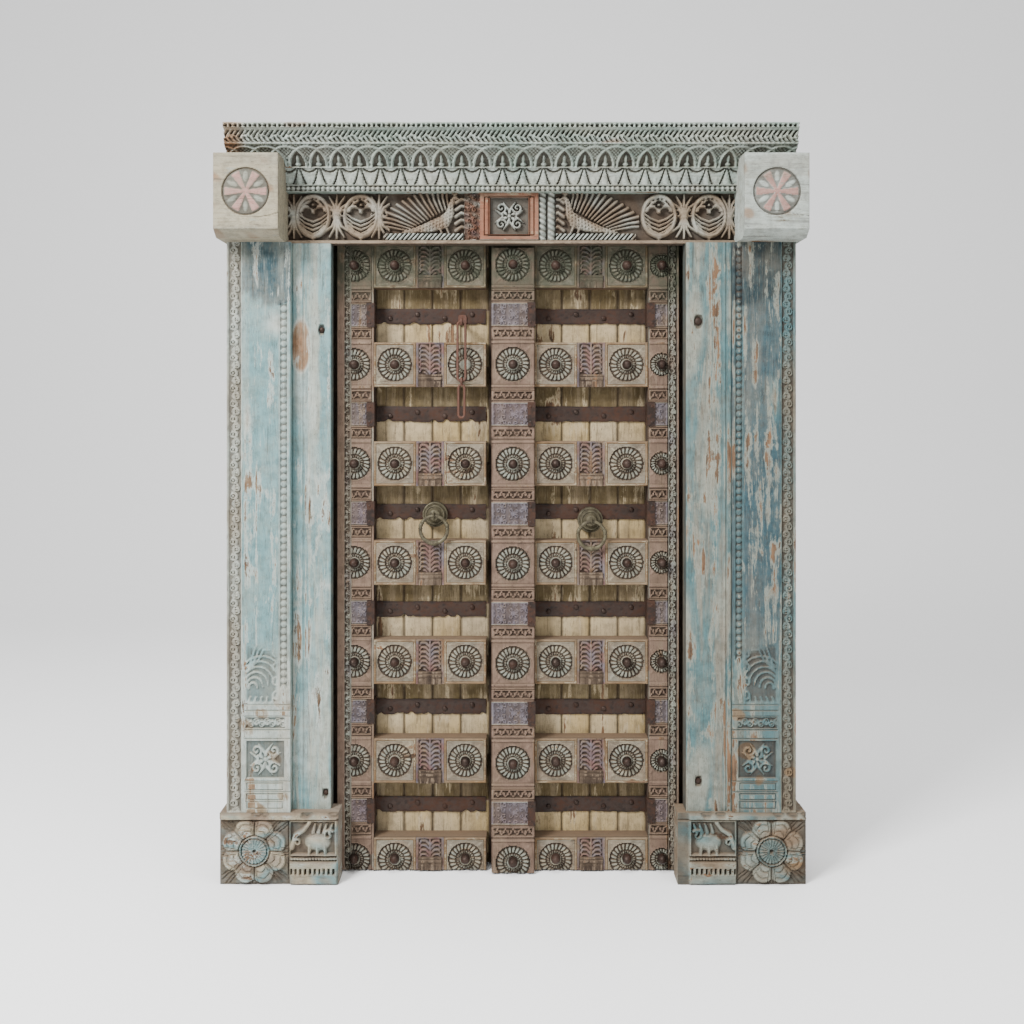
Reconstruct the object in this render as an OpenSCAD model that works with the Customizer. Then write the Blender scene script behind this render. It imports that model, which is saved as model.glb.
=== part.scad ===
// Carved double-leaf temple door in its post-and-lintel frame, standing on two base blocks.
// Origin: middle of the footprint on the floor. +X to the right, -Y to the front, +Z up.

/* [Frame] */
// Width of the doorway between the two jambs
opening_w = 1069; // [850:1:1400]
// Height of the doorway under the carved lintel
opening_h = 1922; // [1600:1:2400]
// Width of each outer post
post_w = 190; // [140:1:260]
// Width of the left jamb seen from the front
jamb_left_w = 117; // [90:1:180]
// Width of the right jamb seen from the front
jamb_right_w = 137; // [90:1:180]
// How far the posts stand forward of the leaf face
post_proud = 90; // [70:1:140]
// How far the left jamb stands forward of the leaf face
jamb_left_proud = 60; // [45:1:70]
// How far the right jamb stands forward of the leaf face
jamb_right_proud = 80; // [45:1:88]
// Gap left behind the front of a jamb for the leaf edge to turn in
rebate_gap = 15; // [12:1:25]
// Width of the lining behind each jamb
lining_w = 60; // [40:1:75]

/* [Base blocks] */
// Height of the carved base blocks
base_h = 215; // [160:1:300]
// How far the base blocks stand forward of the leaf face
base_proud = 105; // [95:1:150]
// Overhang of the left base block outside its post
base_left_over = 20; // [10:1:40]
// Overhang of the right base block outside its post
base_right_over = 30; // [10:1:40]
// How far each base block reaches into the doorway past its jamb
base_inner_over = 27; // [10:1:35]

/* [Lintel and cornice] */
// Height of the carved lintel board
lintel_h = 153; // [120:1:200]
// How far the lintel board stands forward of the leaf face
lintel_proud = 62; // [45:1:75]
// Height of the carved cornice board
cornice_h = 185; // [150:1:240]
// How far the foot of the cornice stands forward of the leaf face
cornice_foot_proud = 85; // [78:1:100]
// How far the top of the cornice stands forward of the leaf face
cornice_top_proud = 170; // [140:1:190]
// Distance from a post's outer face in to the end of the cornice
cornice_inset = 8.5; // [0:0.5:20]
// Width of the corner blocks
block_w = 187; // [150:1:230]
// Height of the corner blocks
block_h = 242; // [200:1:260]
// How far the corner blocks stand forward of the leaf face
block_proud = 200; // [180:1:240]
// Overhang of the corner blocks outside their posts
block_over = 11.5; // [5:0.5:20]
// Height of the bevel under the front of a corner block
block_bevel = 22; // [8:1:40]

/* [Leaves] */
// Thickness of a leaf from its carved face to the back of its boards
leaf_t = 90; // [80:1:120]
// Gap between a jamb and the leaf beside it
leaf_side_gap = 10; // [8:1:16]
// Gap between the floor and the foot of a leaf
leaf_floor_gap = 6; // [4:1:12]
// How far a leaf reaches up behind the lintel board
leaf_head_lap = 23; // [15:1:30]
// Width of the left hinge stile
stile_left_w = 111; // [90:1:140]
// Width of the right hinge stile
stile_right_w = 94; // [86:1:140]
// Width of the meeting stile on the right leaf
astragal_w = 131; // [100:1:160]
// How far the meeting stile stands forward of the leaf face
astragal_proud = 25; // [15:1:40]
// Gap between the left rails and the meeting stile
meeting_gap = 16; // [14:1:24]
// Distance of the meeting stile's middle to the right of the middle between the leaf edges
meeting_offset = 15; // [0:1:25]
// Part of the meeting gap that the left boards fill
board_lap = 7; // [0:1:7]
// Thickness of the vertical boards
board_t = 30; // [20:1:36]
// Vertical boards in a leaf
board_count = 4; // [3:1:6]
// Joint between neighbouring boards
board_gap = 1.5; // [0.5:0.5:3]

/* [Rails] */
// Rails in a leaf
rail_count = 7; // [5:1:8]
// Drop from the head of the doorway to the middle of the top rail
rail_head_drop = 59; // [50:1:70]
// Height of a rail
rail_h = 137; // [110:1:150]
// Height of the lowest rail's middle line above the floor
rail_first_z = 36; // [20:1:60]
// Thickness of the carved tiles on a rail
tile_t = 12; // [8:1:20]
// Width of the leaf carving between the two tiles of a rail
carving_w = 85; // [50:1:100]
// Joint between the carved pieces on a rail
tile_gap = 1; // [0.5:0.5:3]
// Rim left around the round sinking that holds a rosette
rosette_rim = 10; // [6:1:16]
// Depth of that sinking
rosette_deep = 7; // [3:1:9]

/* [Ironwork] */
// Height of an iron strap
strap_h = 50; // [35:1:70]
// Thickness of an iron strap
strap_t = 5; // [3:0.5:7]
// Gap between a strap and the wood at its free ends
strap_end_gap = 3; // [1:1:6]
// Radius of a large domed stud
stud_r = 15; // [10:1:18]
// Height of a large domed stud
stud_h = 25; // [16:1:28]
// Distance of a hinge stile's studs from the leaf's outer edge
stile_stud_inset = 52; // [40:1:60]
// Radius of a strap nail head
nail_r = 8; // [5:1:10]
// Height of a strap nail head
nail_h = 5; // [3:1:7]
// Nails along one strap
nail_count = 4; // [3:1:6]
// Height of an iron clip
clip_h = 75; // [50:1:90]
// Width of a clip on the face of its stile
clip_w = 22; // [16:1:30]
// Thickness of a clip
clip_t = 3; // [2:0.5:4]

/* [Pivots] */
// Radius of the pivot pins
pivot_r = 20; // [14:1:22]
// Radial running clearance of the pins in their sockets
pivot_fit = 0.06; // [0.02:0.01:0.1]
// Distance from a leaf's outer edge to its pivot axis
pivot_inset = 30; // [28:1:34]
// Length of a pivot pin inside its socket
pivot_in = 28; // [20:1:32]
// Air between a leaf and the socket that carries its pin
pivot_air = 10; // [5:1:14]
// Air between the foot of a lower pin and the floor of its socket
pivot_end_gap = 0.5; // [0.3:0.1:1]
// Height of a floor socket
shoe_h = 40; // [36:1:60]
// Width of a floor socket
shoe_w = 52; // [46:1:56]
// Thickness of the leaf left in front of a floor socket
skirt_t = 17; // [12:1:18]

/* [Ring pulls] */
// Radius of the turned rose
rose_r = 40; // [30:1:48]
// Radius of a ring to the middle of its bar
ring_r = 42; // [35:1:55]
// Radius of the bar that a ring is made from
ring_bar_r = 5.5; // [4:0.5:7]
// Distance of a ring's hinge line in front of the leaf face
ring_proud = 16; // [14:1:24]
// Distance of the left rose to the right of the middle of its leaf's rails
rose_left_shift = 13; // [0:1:20]
// Drop of the left rose below its strap, as a share of the free height over the next rail
rose_left_share = 0.16; // [0:0.01:0.9]
// Drop of the right rose below its strap, as a share of the free height over the next rail
rose_right_share = 0.55; // [0:0.01:0.9]
// Thickness of the eye that holds a ring
eye_t = 12; // [8:1:14]
// Radial clearance of a ring's bar in its eye
eye_fit = 1; // [0.8:0.1:2.5]

/* [Hasp] */
// Distance of the hasp from the left leaf's free edge
hasp_inset = 76; // [50:1:120]
// Drop of the hasp's eye below the middle of its strap
hasp_drop = 21; // [10:1:22]
// Distance of the links in front of the leaf face
hasp_proud = 16; // [12:1:24]
// Radius of the bar of the links
link_bar_r = 4; // [3:0.5:5]
// Radial clearance of a link's bar in the eye that holds it
link_fit = 0.8; // [0.6:0.1:1.5]
// Length of the long link between its bar centres
link_len = 182; // [150:1:230]
// Width of the long link between its bar centres
link_w = 24; // [20:1:40]
// Width, thickness and height of the plate behind the hasp's eye
eye_plate = [26, 4, 34];
// Height of the plate's middle above the eye
eye_plate_lift = 10; // [0:1:15]
// Length of the lower link between its bar centres
hook_len = 112; // [90:1:140]
// Width of the lower link between its bar centres
hook_w = 18; // [16:1:30]

/* [Hidden] */
$fn = 48;

// Depths, front to back
batten_t = 25;
frame_depth = block_proud + leaf_t + batten_t;
y_front = -frame_depth / 2;
y_back = frame_depth / 2;
y_face = y_front + block_proud;
y_rebate = y_face - rebate_gap;
y_boards = y_face + leaf_t - board_t;
y_strap = y_boards - strap_t;
y_pivot = y_face + leaf_t / 2;
y_leaf_back = y_face + leaf_t;

// Widths, left to right
frame_w = 2 * post_w + jamb_left_w + jamb_right_w + opening_w;
x_left_post = -(frame_w + base_left_over + base_right_over) / 2 + base_left_over;
x_right_post_out = x_left_post + frame_w;
x_right_post = x_right_post_out - post_w;
x_left_jamb = x_left_post + post_w;
x_open_left = x_left_jamb + jamb_left_w;
x_open_right = x_open_left + opening_w;
x_left_block = x_left_post - block_over;
x_right_block = x_right_post_out + block_over - block_w;

// Leaf edges, left to right
x_left_leaf = x_open_left + leaf_side_gap;
x_left_in = x_left_leaf + stile_left_w;
x_right_leaf = x_open_right - leaf_side_gap;
x_right_in = x_right_leaf - stile_right_w;
x_meet = (x_left_leaf + x_right_leaf) / 2 + meeting_offset;
x_meet_left = x_meet - astragal_w / 2;
x_meet_right = x_meet + astragal_w / 2;
x_left_free = x_meet_left - meeting_gap;
x_left_boards_end = x_left_free + board_lap;
x_left_pivot = x_left_leaf + pivot_inset;
x_right_pivot = x_right_leaf - pivot_inset;

// Heights
z_leaf = leaf_floor_gap;
z_leaf_top = opening_h + leaf_head_lap;
z_lintel = opening_h;
z_cornice = z_lintel + lintel_h;
z_top = z_cornice + cornice_h;
z_block_top = z_lintel + block_h;
z_head = z_leaf_top + pivot_air;
z_shoe_notch = shoe_h + pivot_air;
astragal_head_gap = 8;
socket_head_gap = 3;
notch_gap = 6;

// Rail and strap rows, from the bottom
rail_pitch = (z_lintel - rail_head_drop - rail_first_z) / (rail_count - 1);
function rail_z(i) = rail_first_z + (i - 1) * rail_pitch;
function strap_z(i) = rail_z(i) + rail_pitch / 2;
pull_row = floor(rail_count / 2) + 1;
hasp_row = rail_count - 1;

// Iron sizes that follow the seats
rose_seat_y = y_strap;
ring_y = y_face - ring_proud;
hasp_y = y_face - hasp_proud;
x_hasp = x_left_free - hasp_inset;
z_hasp = strap_z(hasp_row) - hasp_drop;
z_hook = z_hasp - link_len;
link_eye_r = link_bar_r + link_fit;
link_eye_bar_r = 3.5;

timber = "#8fb0b5";
bare = "#a98a60";
iron = "#3a2820";

// A block between two opposite corners
module slab(low, high) {
    translate(low) cube(high - low);
}

// ---- Frame ----

// One carved base block: a deep part under the post and a nose in front of the leaf edge
module base_block(x_out, x_lining, x_nose) {
    slab([min(x_out, x_lining), y_face - base_proud, 0], [max(x_out, x_lining), y_back, base_h]);
    slab([min(x_lining, x_nose), y_face - base_proud, 0], [max(x_lining, x_nose), y_rebate, base_h]);
}

module left_base_block() {
    color(timber) base_block(x_left_post - base_left_over, x_left_jamb + lining_w,
        x_open_left + base_inner_over);
}

module right_base_block() {
    color(timber) base_block(x_right_post_out + base_right_over, x_right_post - lining_w,
        x_open_right - base_inner_over);
}

module left_post() {
    color(timber) slab([x_left_post, y_face - post_proud, base_h], [x_left_jamb, y_back, z_lintel]);
}

module right_post() {
    color(timber) slab([x_right_post, y_face - post_proud, base_h], [x_right_post_out, y_back, z_lintel]);
}

// One jamb: a flat front board with its lining set back behind the leaf edge
module jamb(x_post, x_opening, x_lining, proud) {
    slab([min(x_post, x_opening), y_face - proud, base_h], [max(x_post, x_opening), y_rebate, z_lintel]);
    slab([min(x_post, x_lining), y_rebate, base_h], [max(x_post, x_lining), y_back, z_head]);
}

module left_jamb() {
    color(timber) jamb(x_left_jamb, x_open_left, x_left_jamb + lining_w, jamb_left_proud);
}

module right_jamb() {
    color(timber) jamb(x_right_post, x_open_right, x_right_post - lining_w, jamb_right_proud);
}

// One corner block, sitting on its post as the beam's end, bevelled under its front edge
module corner_block(x) {
    difference() {
        slab([x, y_front, z_lintel], [x + block_w, y_back, z_block_top]);
        translate([x - 1, y_front, z_lintel]) rotate([90, 0, 90]) linear_extrude(block_w + 2)
            polygon([[-1, -1], [block_bevel * 1.5, -1], [-1, block_bevel]]);
    }
}

module left_corner_block() {
    color("#c8c0a8") corner_block(x_left_block);
}

module right_corner_block() {
    color("#a8b4b0") corner_block(x_right_block);
}

module carved_lintel() {
    color("#8a7a68") slab([x_left_block + block_w, y_face - lintel_proud, z_lintel],
        [x_right_block, y_rebate, z_cornice]);
}

// Section of the cornice, drawn as depth in front of the rebate plane against height
module cornice_section() {
    foot = cornice_foot_proud - rebate_gap;
    top = cornice_top_proud - rebate_gap;
    bead = cornice_h * 0.1;
    fascia = cornice_h * 0.7;
    fillet = cornice_h * 0.91;
    lean = top - 10 - foot;
    cove = [for (i = [0:6]) [foot + lean * (1 - cos(15 * i)), bead + (fascia - bead) * i / 6]];
    polygon(concat([[0, 0], [foot, 0]], cove,
        [[top - 10, fillet], [top, fillet], [top, cornice_h], [0, cornice_h]]));
}

module carved_cornice() {
    x_low = x_left_post + cornice_inset;
    x_high = x_right_post_out - cornice_inset;
    seat_back = 70;
    color("#a9b8a8") union() {
        difference() {
            translate([x_low, y_rebate, z_cornice]) rotate([90, 0, 90]) linear_extrude(x_high - x_low)
                mirror([1, 0]) cornice_section();
            slab([x_low - 1, y_front - 1, z_cornice - 1], [x_left_block + block_w, y_back, z_block_top]);
            slab([x_right_block, y_front - 1, z_cornice - 1], [x_high + 1, y_back, z_block_top]);
        }
        slab([x_low, y_rebate, z_block_top], [x_high, y_rebate + seat_back, z_top]);
    }
}

// Beam across the back that carries the upper pivots
module head_beam() {
    color("#7a6248") difference() {
        slab([x_left_block + block_w, y_rebate, z_head], [x_right_block, y_back, z_block_top]);
        for (x = [x_left_pivot, x_right_pivot])
            translate([x, y_pivot, z_head - 1])
                cylinder(r = pivot_r + pivot_fit, h = pivot_in + socket_head_gap + 1);
    }
}

// Floor socket for one leaf, tenoned against the lining's base
module pivot_shoe(x_pivot, x_lining) {
    color("#4a4038") difference() {
        union() {
            translate([x_pivot, y_pivot, 0]) cylinder(r = shoe_w / 2, h = shoe_h);
            slab([min(x_pivot, x_lining), y_pivot - shoe_w / 2, 0],
                [max(x_pivot, x_lining), y_pivot + shoe_w / 2, shoe_h]);
        }
        translate([x_pivot, y_pivot, shoe_h - pivot_in - pivot_end_gap])
            cylinder(r = pivot_r + pivot_fit, h = pivot_in + pivot_end_gap + 1);
    }
}

module left_pivot_shoe() {
    pivot_shoe(x_left_pivot, x_left_jamb + lining_w);
}

module right_pivot_shoe() {
    pivot_shoe(x_right_pivot, x_right_post - lining_w);
}

// ---- Leaves ----

// A hinge stile with its two pivot pins; side is 1 when the stile runs to +X from its outer edge
module hinge_stile(x_out, side, w) {
    x_in = x_out + side * w;
    x_pivot = x_out + side * pivot_inset;
    notch_in = x_pivot + side * (shoe_w / 2 + notch_gap);
    color(bare) {
        difference() {
            slab([min(x_out, x_in), y_face, z_leaf], [max(x_out, x_in), y_leaf_back, z_leaf_top]);
            slab([min(x_out - side, notch_in), y_face + skirt_t, z_leaf - 1],
                [max(x_out - side, notch_in), y_leaf_back + 1, z_shoe_notch]);
        }
        translate([x_pivot, y_pivot, shoe_h - pivot_in]) cylinder(r = pivot_r, h = pivot_in + pivot_air);
        translate([x_pivot, y_pivot, z_leaf_top]) cylinder(r = pivot_r, h = pivot_in + pivot_air);
    }
}

module left_hinge_stile() {
    hinge_stile(x_left_leaf, 1, stile_left_w);
}

module right_hinge_stile() {
    hinge_stile(x_right_leaf, -1, stile_right_w);
}

// The right leaf's proud stile, cut back at its head to pass behind the lintel
module meeting_stile() {
    color(bare) difference() {
        slab([x_meet_left, y_face - astragal_proud, z_leaf], [x_meet_right, y_leaf_back, z_leaf_top]);
        slab([x_meet_left - 1, y_face - astragal_proud - 1, z_lintel - astragal_head_gap],
            [x_meet_right + 1, y_face, z_leaf_top + 1]);
    }
}

// Vertical boards side by side
module boards(x_low, x_high) {
    w = (x_high - x_low - (board_count - 1) * board_gap) / board_count;
    for (i = [0:board_count - 1]) {
        x = x_low + i * (w + board_gap);
        color("#c8ac70") slab([x, y_boards, z_leaf], [x + w, y_leaf_back, z_leaf_top]);
    }
}

module left_boards() {
    boards(x_left_in, x_left_boards_end);
}

module right_boards() {
    boards(x_meet_right, x_right_in);
}

// Plain battens across the back of a leaf, behind every second strap
module rear_battens(x_low, x_high) {
    for (i = [1:2:rail_count - 1])
        color("#7a6248") slab([x_low, y_leaf_back, strap_z(i) - rail_h / 2],
            [x_high, y_back, strap_z(i) + rail_h / 2]);
}

module left_rear_battens() {
    rear_battens(x_left_pivot + pivot_r, x_left_boards_end);
}

module right_rear_battens() {
    rear_battens(x_meet_left, x_right_pivot - pivot_r);
}

// A rail behind its carved pieces; the lowest one is cut off at the foot of the leaf
module rail(i, x_low, x_high) {
    color(bare) slab([x_low, y_face + tile_t, max(z_leaf, rail_z(i) - rail_h / 2)],
        [x_high, y_boards, rail_z(i) + rail_h / 2]);
}

module left_rail(i) {
    rail(i, x_left_in, x_left_free);
}

module right_rail(i) {
    rail(i, x_meet_right, x_right_in);
}

// Width of a tile on a rail that runs between two edges
function tile_w(x_low, x_high) = (x_high - x_low - carving_w) / 2 - tile_gap;

// Square tile with a round sinking and a turned flower boss in it
module rosette_tile(x, z, w) {
    rosette_r = min(w, rail_h) / 2 - rosette_rim;
    translate([x, y_face + tile_t, z]) rotate([90, 0, 0]) {
        difference() {
            translate([-w / 2, -rail_h / 2, 0]) cube([w, rail_h, tile_t]);
            translate([0, 0, tile_t - rosette_deep]) cylinder(r = rosette_r, h = rosette_deep + 1);
        }
        translate([0, 0, tile_t - rosette_deep]) {
            cylinder(r = rosette_r * 0.88, h = rosette_deep * 0.45);
            cylinder(r = rosette_r * 0.62, h = rosette_deep * 0.75);
            cylinder(r = stud_r + 3, h = rosette_deep);
        }
    }
}

// Centres of the two tiles on a rail
function tile_x(x_low, x_high) = [x_low + tile_w(x_low, x_high) / 2, x_high - tile_w(x_low, x_high) / 2];

module rosette_tiles(x_low, x_high) {
    color(bare) intersection() {
        for (i = [1:rail_count])
            for (x = tile_x(x_low, x_high)) rosette_tile(x, rail_z(i), tile_w(x_low, x_high));
        slab([x_low - 1, y_face - 1, z_leaf], [x_high + 1, y_boards, z_leaf_top]);
    }
}

module left_rosette_tiles() {
    rosette_tiles(x_left_in, x_left_free);
}

module right_rosette_tiles() {
    rosette_tiles(x_meet_right, x_right_in);
}

// Upright leaf carving between the two tiles of a rail, with a bracket foot at its lower edge
module leaf_carvings(x_low, x_high) {
    x0 = x_low + tile_w(x_low, x_high) + tile_gap;
    x1 = x_high - tile_w(x_low, x_high) - tile_gap;
    foot_h = rail_h * 0.28;
    foot_in = 6;
    foot_proud = 3;
    for (i = [1:rail_count]) {
        z0 = max(z_leaf, rail_z(i) - rail_h / 2);
        color("#a07a88") union() {
            slab([x0, y_face + tile_t / 3, z0], [x1, y_face + tile_t, rail_z(i) + rail_h / 2]);
            slab([x0 + foot_in, y_face - foot_proud, z0], [x1 - foot_in, y_face + tile_t, z0 + foot_h]);
        }
    }
}

module left_leaf_carvings() {
    leaf_carvings(x_left_in, x_left_free);
}

module right_leaf_carvings() {
    leaf_carvings(x_meet_right, x_right_in);
}

// ---- Ironwork ----

module straps(x_low, x_high) {
    for (i = [1:rail_count - 1])
        color(iron) slab([x_low, y_strap, strap_z(i) - strap_h / 2],
            [x_high, y_boards, strap_z(i) + strap_h / 2]);
}

module left_straps() {
    straps(x_left_in + clip_t, x_left_free - strap_end_gap);
}

module right_straps() {
    straps(x_meet_right + clip_t, x_right_in - clip_t);
}

// A domed head on a plane facing the front, at x, y, z
module dome(x, y, z, r, h) {
    ball = (r * r + h * h) / (2 * h);
    translate([x, y, z]) rotate([90, 0, 0]) intersection() {
        translate([0, 0, h - ball]) sphere(r = ball);
        cylinder(r = r + 1, h = h + 1);
    }
}

// A large stud: a short neck under a domed head
module stud(x, y, z) {
    neck = stud_h * 0.4;
    color(iron) {
        translate([x, y, z]) rotate([90, 0, 0]) cylinder(r = stud_r, h = neck);
        dome(x, y - neck, z, stud_r, stud_h - neck);
    }
}

// Stud height above the floor on row i; the lowest rail is cut off, so its studs sit higher
foot_stud_lift = 6;
function stud_z(i) = i == 1 ? rail_first_z + foot_stud_lift : rail_z(i);

// The hasp hangs over one rosette, and that one has no stud
module left_studs() {
    for (i = [1:rail_count]) {
        stud(x_left_leaf + stile_stud_inset, y_face, stud_z(i));
        stud(tile_x(x_left_in, x_left_free)[0], y_face, stud_z(i));
        if (i != hasp_row) stud(tile_x(x_left_in, x_left_free)[1], y_face, stud_z(i));
    }
}

module right_studs() {
    for (i = [1:rail_count]) {
        stud(x_meet, y_face - astragal_proud, stud_z(i));
        for (x = tile_x(x_meet_right, x_right_in)) stud(x, y_face, stud_z(i));
        stud(x_right_leaf - stile_stud_inset, y_face, stud_z(i));
    }
}

// Nails along the straps, left out within each [x, z, radius] that other ironwork covers
module strap_nails(x_low, x_high, covered) {
    step = (x_high - x_low) / nail_count;
    stagger = 6;
    for (i = [1:rail_count - 1])
        for (k = [0:nail_count - 1]) {
            x = x_low + (k + 0.5) * step;
            z = strap_z(i) + (k % 2 ? stagger : -stagger);
            if (min([for (c = covered) norm([x - c[0], z - c[1]]) - c[2]]) > nail_r + 1)
                color(iron) dome(x, y_strap, z, nail_r, nail_h);
        }
}

module left_strap_nails() {
    strap_nails(x_left_in + clip_t, x_left_free - strap_end_gap,
        [[x_left_rose, z_left_rose, rose_r],
         [x_hasp, z_hasp + eye_plate_lift, norm([eye_plate[0], eye_plate[2]]) / 2]]);
}

module right_strap_nails() {
    strap_nails(x_meet_right + clip_t, x_right_in - clip_t, [[x_right_rose, z_right_rose, rose_r]]);
}

// A clip folded over a stile's edge; side is 1 when the open panel lies towards +X
module clip(x, y_stile, side, z) {
    a = x - side * clip_w;
    b = x + side * clip_t;
    color(iron) {
        slab([min(a, b), y_stile - clip_t, z - clip_h / 2], [max(a, b), y_stile, z + clip_h / 2]);
        slab([min(x, b), y_stile, z - clip_h / 2], [max(x, b), y_boards, z + clip_h / 2]);
    }
}

module left_clips() {
    for (i = [1:rail_count - 1]) clip(x_left_in, y_face, 1, strap_z(i));
}

module right_clips() {
    for (i = [1:rail_count - 1]) {
        clip(x_meet_right, y_face - astragal_proud, 1, strap_z(i));
        clip(x_right_in, y_face, -1, strap_z(i));
    }
}

// ---- Ring pulls ----

// Middles of the two roses
x_left_rose = (x_left_in + x_left_free) / 2 + rose_left_shift;
x_right_rose = (x_meet_right + x_right_in) / 2;
rose_free = rail_pitch / 2 - rail_h / 2 - rose_r;
z_left_rose = strap_z(pull_row) - rose_left_share * rose_free;
z_right_rose = strap_z(pull_row) - rose_right_share * rose_free;

// Turned rose in three steps, ending in a lug bored across for the ring
module ring_rose(x, z) {
    reach = rose_seat_y - ring_y;
    hole_r = ring_bar_r + eye_fit;
    lug_r = hole_r + 4.5;
    color("#7a7460") difference() {
        union() {
            translate([x, rose_seat_y, z]) rotate([90, 0, 0]) {
                cylinder(r = rose_r, h = reach * 0.28);
                cylinder(r = rose_r * 0.78, h = reach * 0.48);
                cylinder(r = rose_r * 0.5, h = reach - lug_r - 2);
            }
            slab([x - eye_t / 2, ring_y, z - lug_r], [x + eye_t / 2, ring_y + lug_r + 4, z + lug_r]);
            translate([x - eye_t / 2, ring_y, z]) rotate([0, 90, 0]) cylinder(r = lug_r, h = eye_t);
        }
        translate([x - eye_t, ring_y, z]) rotate([0, 90, 0]) cylinder(r = hole_r, h = 2 * eye_t);
    }
}

module left_ring_rose() {
    ring_rose(x_left_rose, z_left_rose);
}

module right_ring_rose() {
    ring_rose(x_right_rose, z_right_rose);
}

// A hanging pull: a round ring through the eye, thickened at each shoulder and at its foot
module pull_ring(x, z) {
    swell = 16;
    color("#7a7460") translate([x, ring_y, z - ring_r]) rotate([90, 0, 0]) union() {
        rotate_extrude() translate([ring_r, 0]) circle(r = ring_bar_r);
        for (a = [18, 162, 270])
            rotate([0, 0, a - swell / 2]) rotate_extrude(angle = swell)
                translate([ring_r, 0]) circle(r = ring_bar_r * 1.4);
    }
}

module left_ring() {
    pull_ring(x_left_rose, z_left_rose);
}

module right_ring() {
    pull_ring(x_right_rose, z_right_rose);
}

// ---- Hasp ----

// A round eye whose hole runs along X, centred at the point it is moved to
module link_eye() {
    rotate([0, 90, 0]) rotate_extrude() translate([link_eye_r + link_eye_bar_r, 0])
        circle(r = link_eye_bar_r);
}

// A closed link in the XZ plane, hanging from the origin, len and w between bar centres
module long_loop(len, w) {
    for (s = [-1, 1]) translate([s * w / 2, 0, -len + w / 2])
        cylinder(r = link_bar_r, h = len - w);
    for (a = [0, 180])
        translate([0, 0, a == 0 ? -w / 2 : -len + w / 2]) rotate([90, 0, 0]) rotate([0, 0, a])
            rotate_extrude(angle = 180) translate([w / 2, 0]) circle(r = link_bar_r);
}

// Eye bolt standing out of the strap above the hasp's rosette
module hasp_eye() {
    shank_r = 5;
    color(iron) union() {
        translate([x_hasp, hasp_y, z_hasp]) link_eye();
        translate([x_hasp, y_strap, z_hasp]) rotate([90, 0, 0])
            cylinder(r = shank_r, h = y_strap - hasp_y - link_eye_r - link_eye_bar_r);
        translate([x_hasp - eye_plate[0] / 2, y_strap - eye_plate[1],
            z_hasp - eye_plate[2] / 2 + eye_plate_lift]) cube(eye_plate);
    }
}

module hasp_long_link() {
    color(iron) translate([x_hasp, hasp_y, z_hasp]) long_loop(link_len, link_w);
}

// Lower link: an eye round the long link's foot, a short neck and a narrow loop
module hasp_lower_link() {
    eye_out = link_eye_r + link_eye_bar_r;
    color(iron) translate([x_hasp, hasp_y, z_hook]) union() {
        link_eye();
        translate([0, 0, -eye_out]) long_loop(hook_len - eye_out, hook_w);
    }
}

left_base_block();
right_base_block();
left_post();
right_post();
left_jamb();
right_jamb();
left_corner_block();
right_corner_block();
carved_lintel();
carved_cornice();
head_beam();
left_pivot_shoe();
right_pivot_shoe();
left_hinge_stile();
right_hinge_stile();
meeting_stile();
left_boards();
right_boards();
left_rear_battens();
right_rear_battens();
for (i = [1:rail_count]) {
    left_rail(i);
    right_rail(i);
}
left_rosette_tiles();
right_rosette_tiles();
left_leaf_carvings();
right_leaf_carvings();
left_straps();
right_straps();
left_studs();
right_studs();
left_strap_nails();
right_strap_nails();
left_clips();
right_clips();
left_ring_rose();
right_ring_rose();
left_ring();
right_ring();
hasp_eye();
hasp_long_link();
hasp_lower_link();
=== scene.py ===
"""Looks of a carved double-leaf temple door in its painted post-and-lintel frame.

Laid out as a Blender add-on: property groups hold the sizes and colours, one operator dresses
each piece or group of like pieces, and a panel lists them. Lengths are metres in the door's own
frame: +X right, -Y front, +Z up. Carvings are height fields: 1 is the plane of the uncut timber,
0 the deepest cut.
"""

import math
from itertools import product

import bpy
import numpy as np
from bpy.props import FloatProperty, FloatVectorProperty, IntProperty, PointerProperty
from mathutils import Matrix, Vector


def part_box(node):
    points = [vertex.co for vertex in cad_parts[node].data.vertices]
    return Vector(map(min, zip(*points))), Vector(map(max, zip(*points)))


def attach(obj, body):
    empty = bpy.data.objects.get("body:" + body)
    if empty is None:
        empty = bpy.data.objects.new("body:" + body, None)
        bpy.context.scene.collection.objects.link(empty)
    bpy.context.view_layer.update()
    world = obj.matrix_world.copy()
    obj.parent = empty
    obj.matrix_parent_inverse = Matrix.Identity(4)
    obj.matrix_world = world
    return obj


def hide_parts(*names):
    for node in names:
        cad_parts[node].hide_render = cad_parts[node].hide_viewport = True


bl_info = {
    "name": "Carved Temple Door",
    "version": (1, 0, 0),
    "blender": (4, 5, 0),
    "location": "3D View > Sidebar > Temple Door",
    "description": "Dresses the door's frame, leaves and ironwork with carving and worn paint",
    "category": "Object",
}

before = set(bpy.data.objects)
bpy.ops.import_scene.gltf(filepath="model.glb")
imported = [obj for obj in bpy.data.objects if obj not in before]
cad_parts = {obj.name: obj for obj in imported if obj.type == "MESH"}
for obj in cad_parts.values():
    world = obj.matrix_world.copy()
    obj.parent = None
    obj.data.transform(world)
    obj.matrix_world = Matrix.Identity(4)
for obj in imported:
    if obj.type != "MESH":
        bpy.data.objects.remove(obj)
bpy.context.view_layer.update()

SIDES = ("left", "right")
MM = 0.001
TAU = 2 * math.pi
ROWS = 7
FIRST_ROW_Z = 36 * MM
TOP_ROW_Z = (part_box("left_rail_7")[0][2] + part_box("left_rail_7")[1][2]) / 2
ROW_PITCH = (TOP_ROW_Z - FIRST_ROW_Z) / (ROWS - 1)
RAIL_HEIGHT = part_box("left_rail_7")[1][2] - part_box("left_rail_7")[0][2]
# Rear strip of a hinge stile: its width, and its front and back behind the stile's face
HINGE_STRIP = (23.5 * MM, 62.5 * MM, 77.5 * MM)
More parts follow.
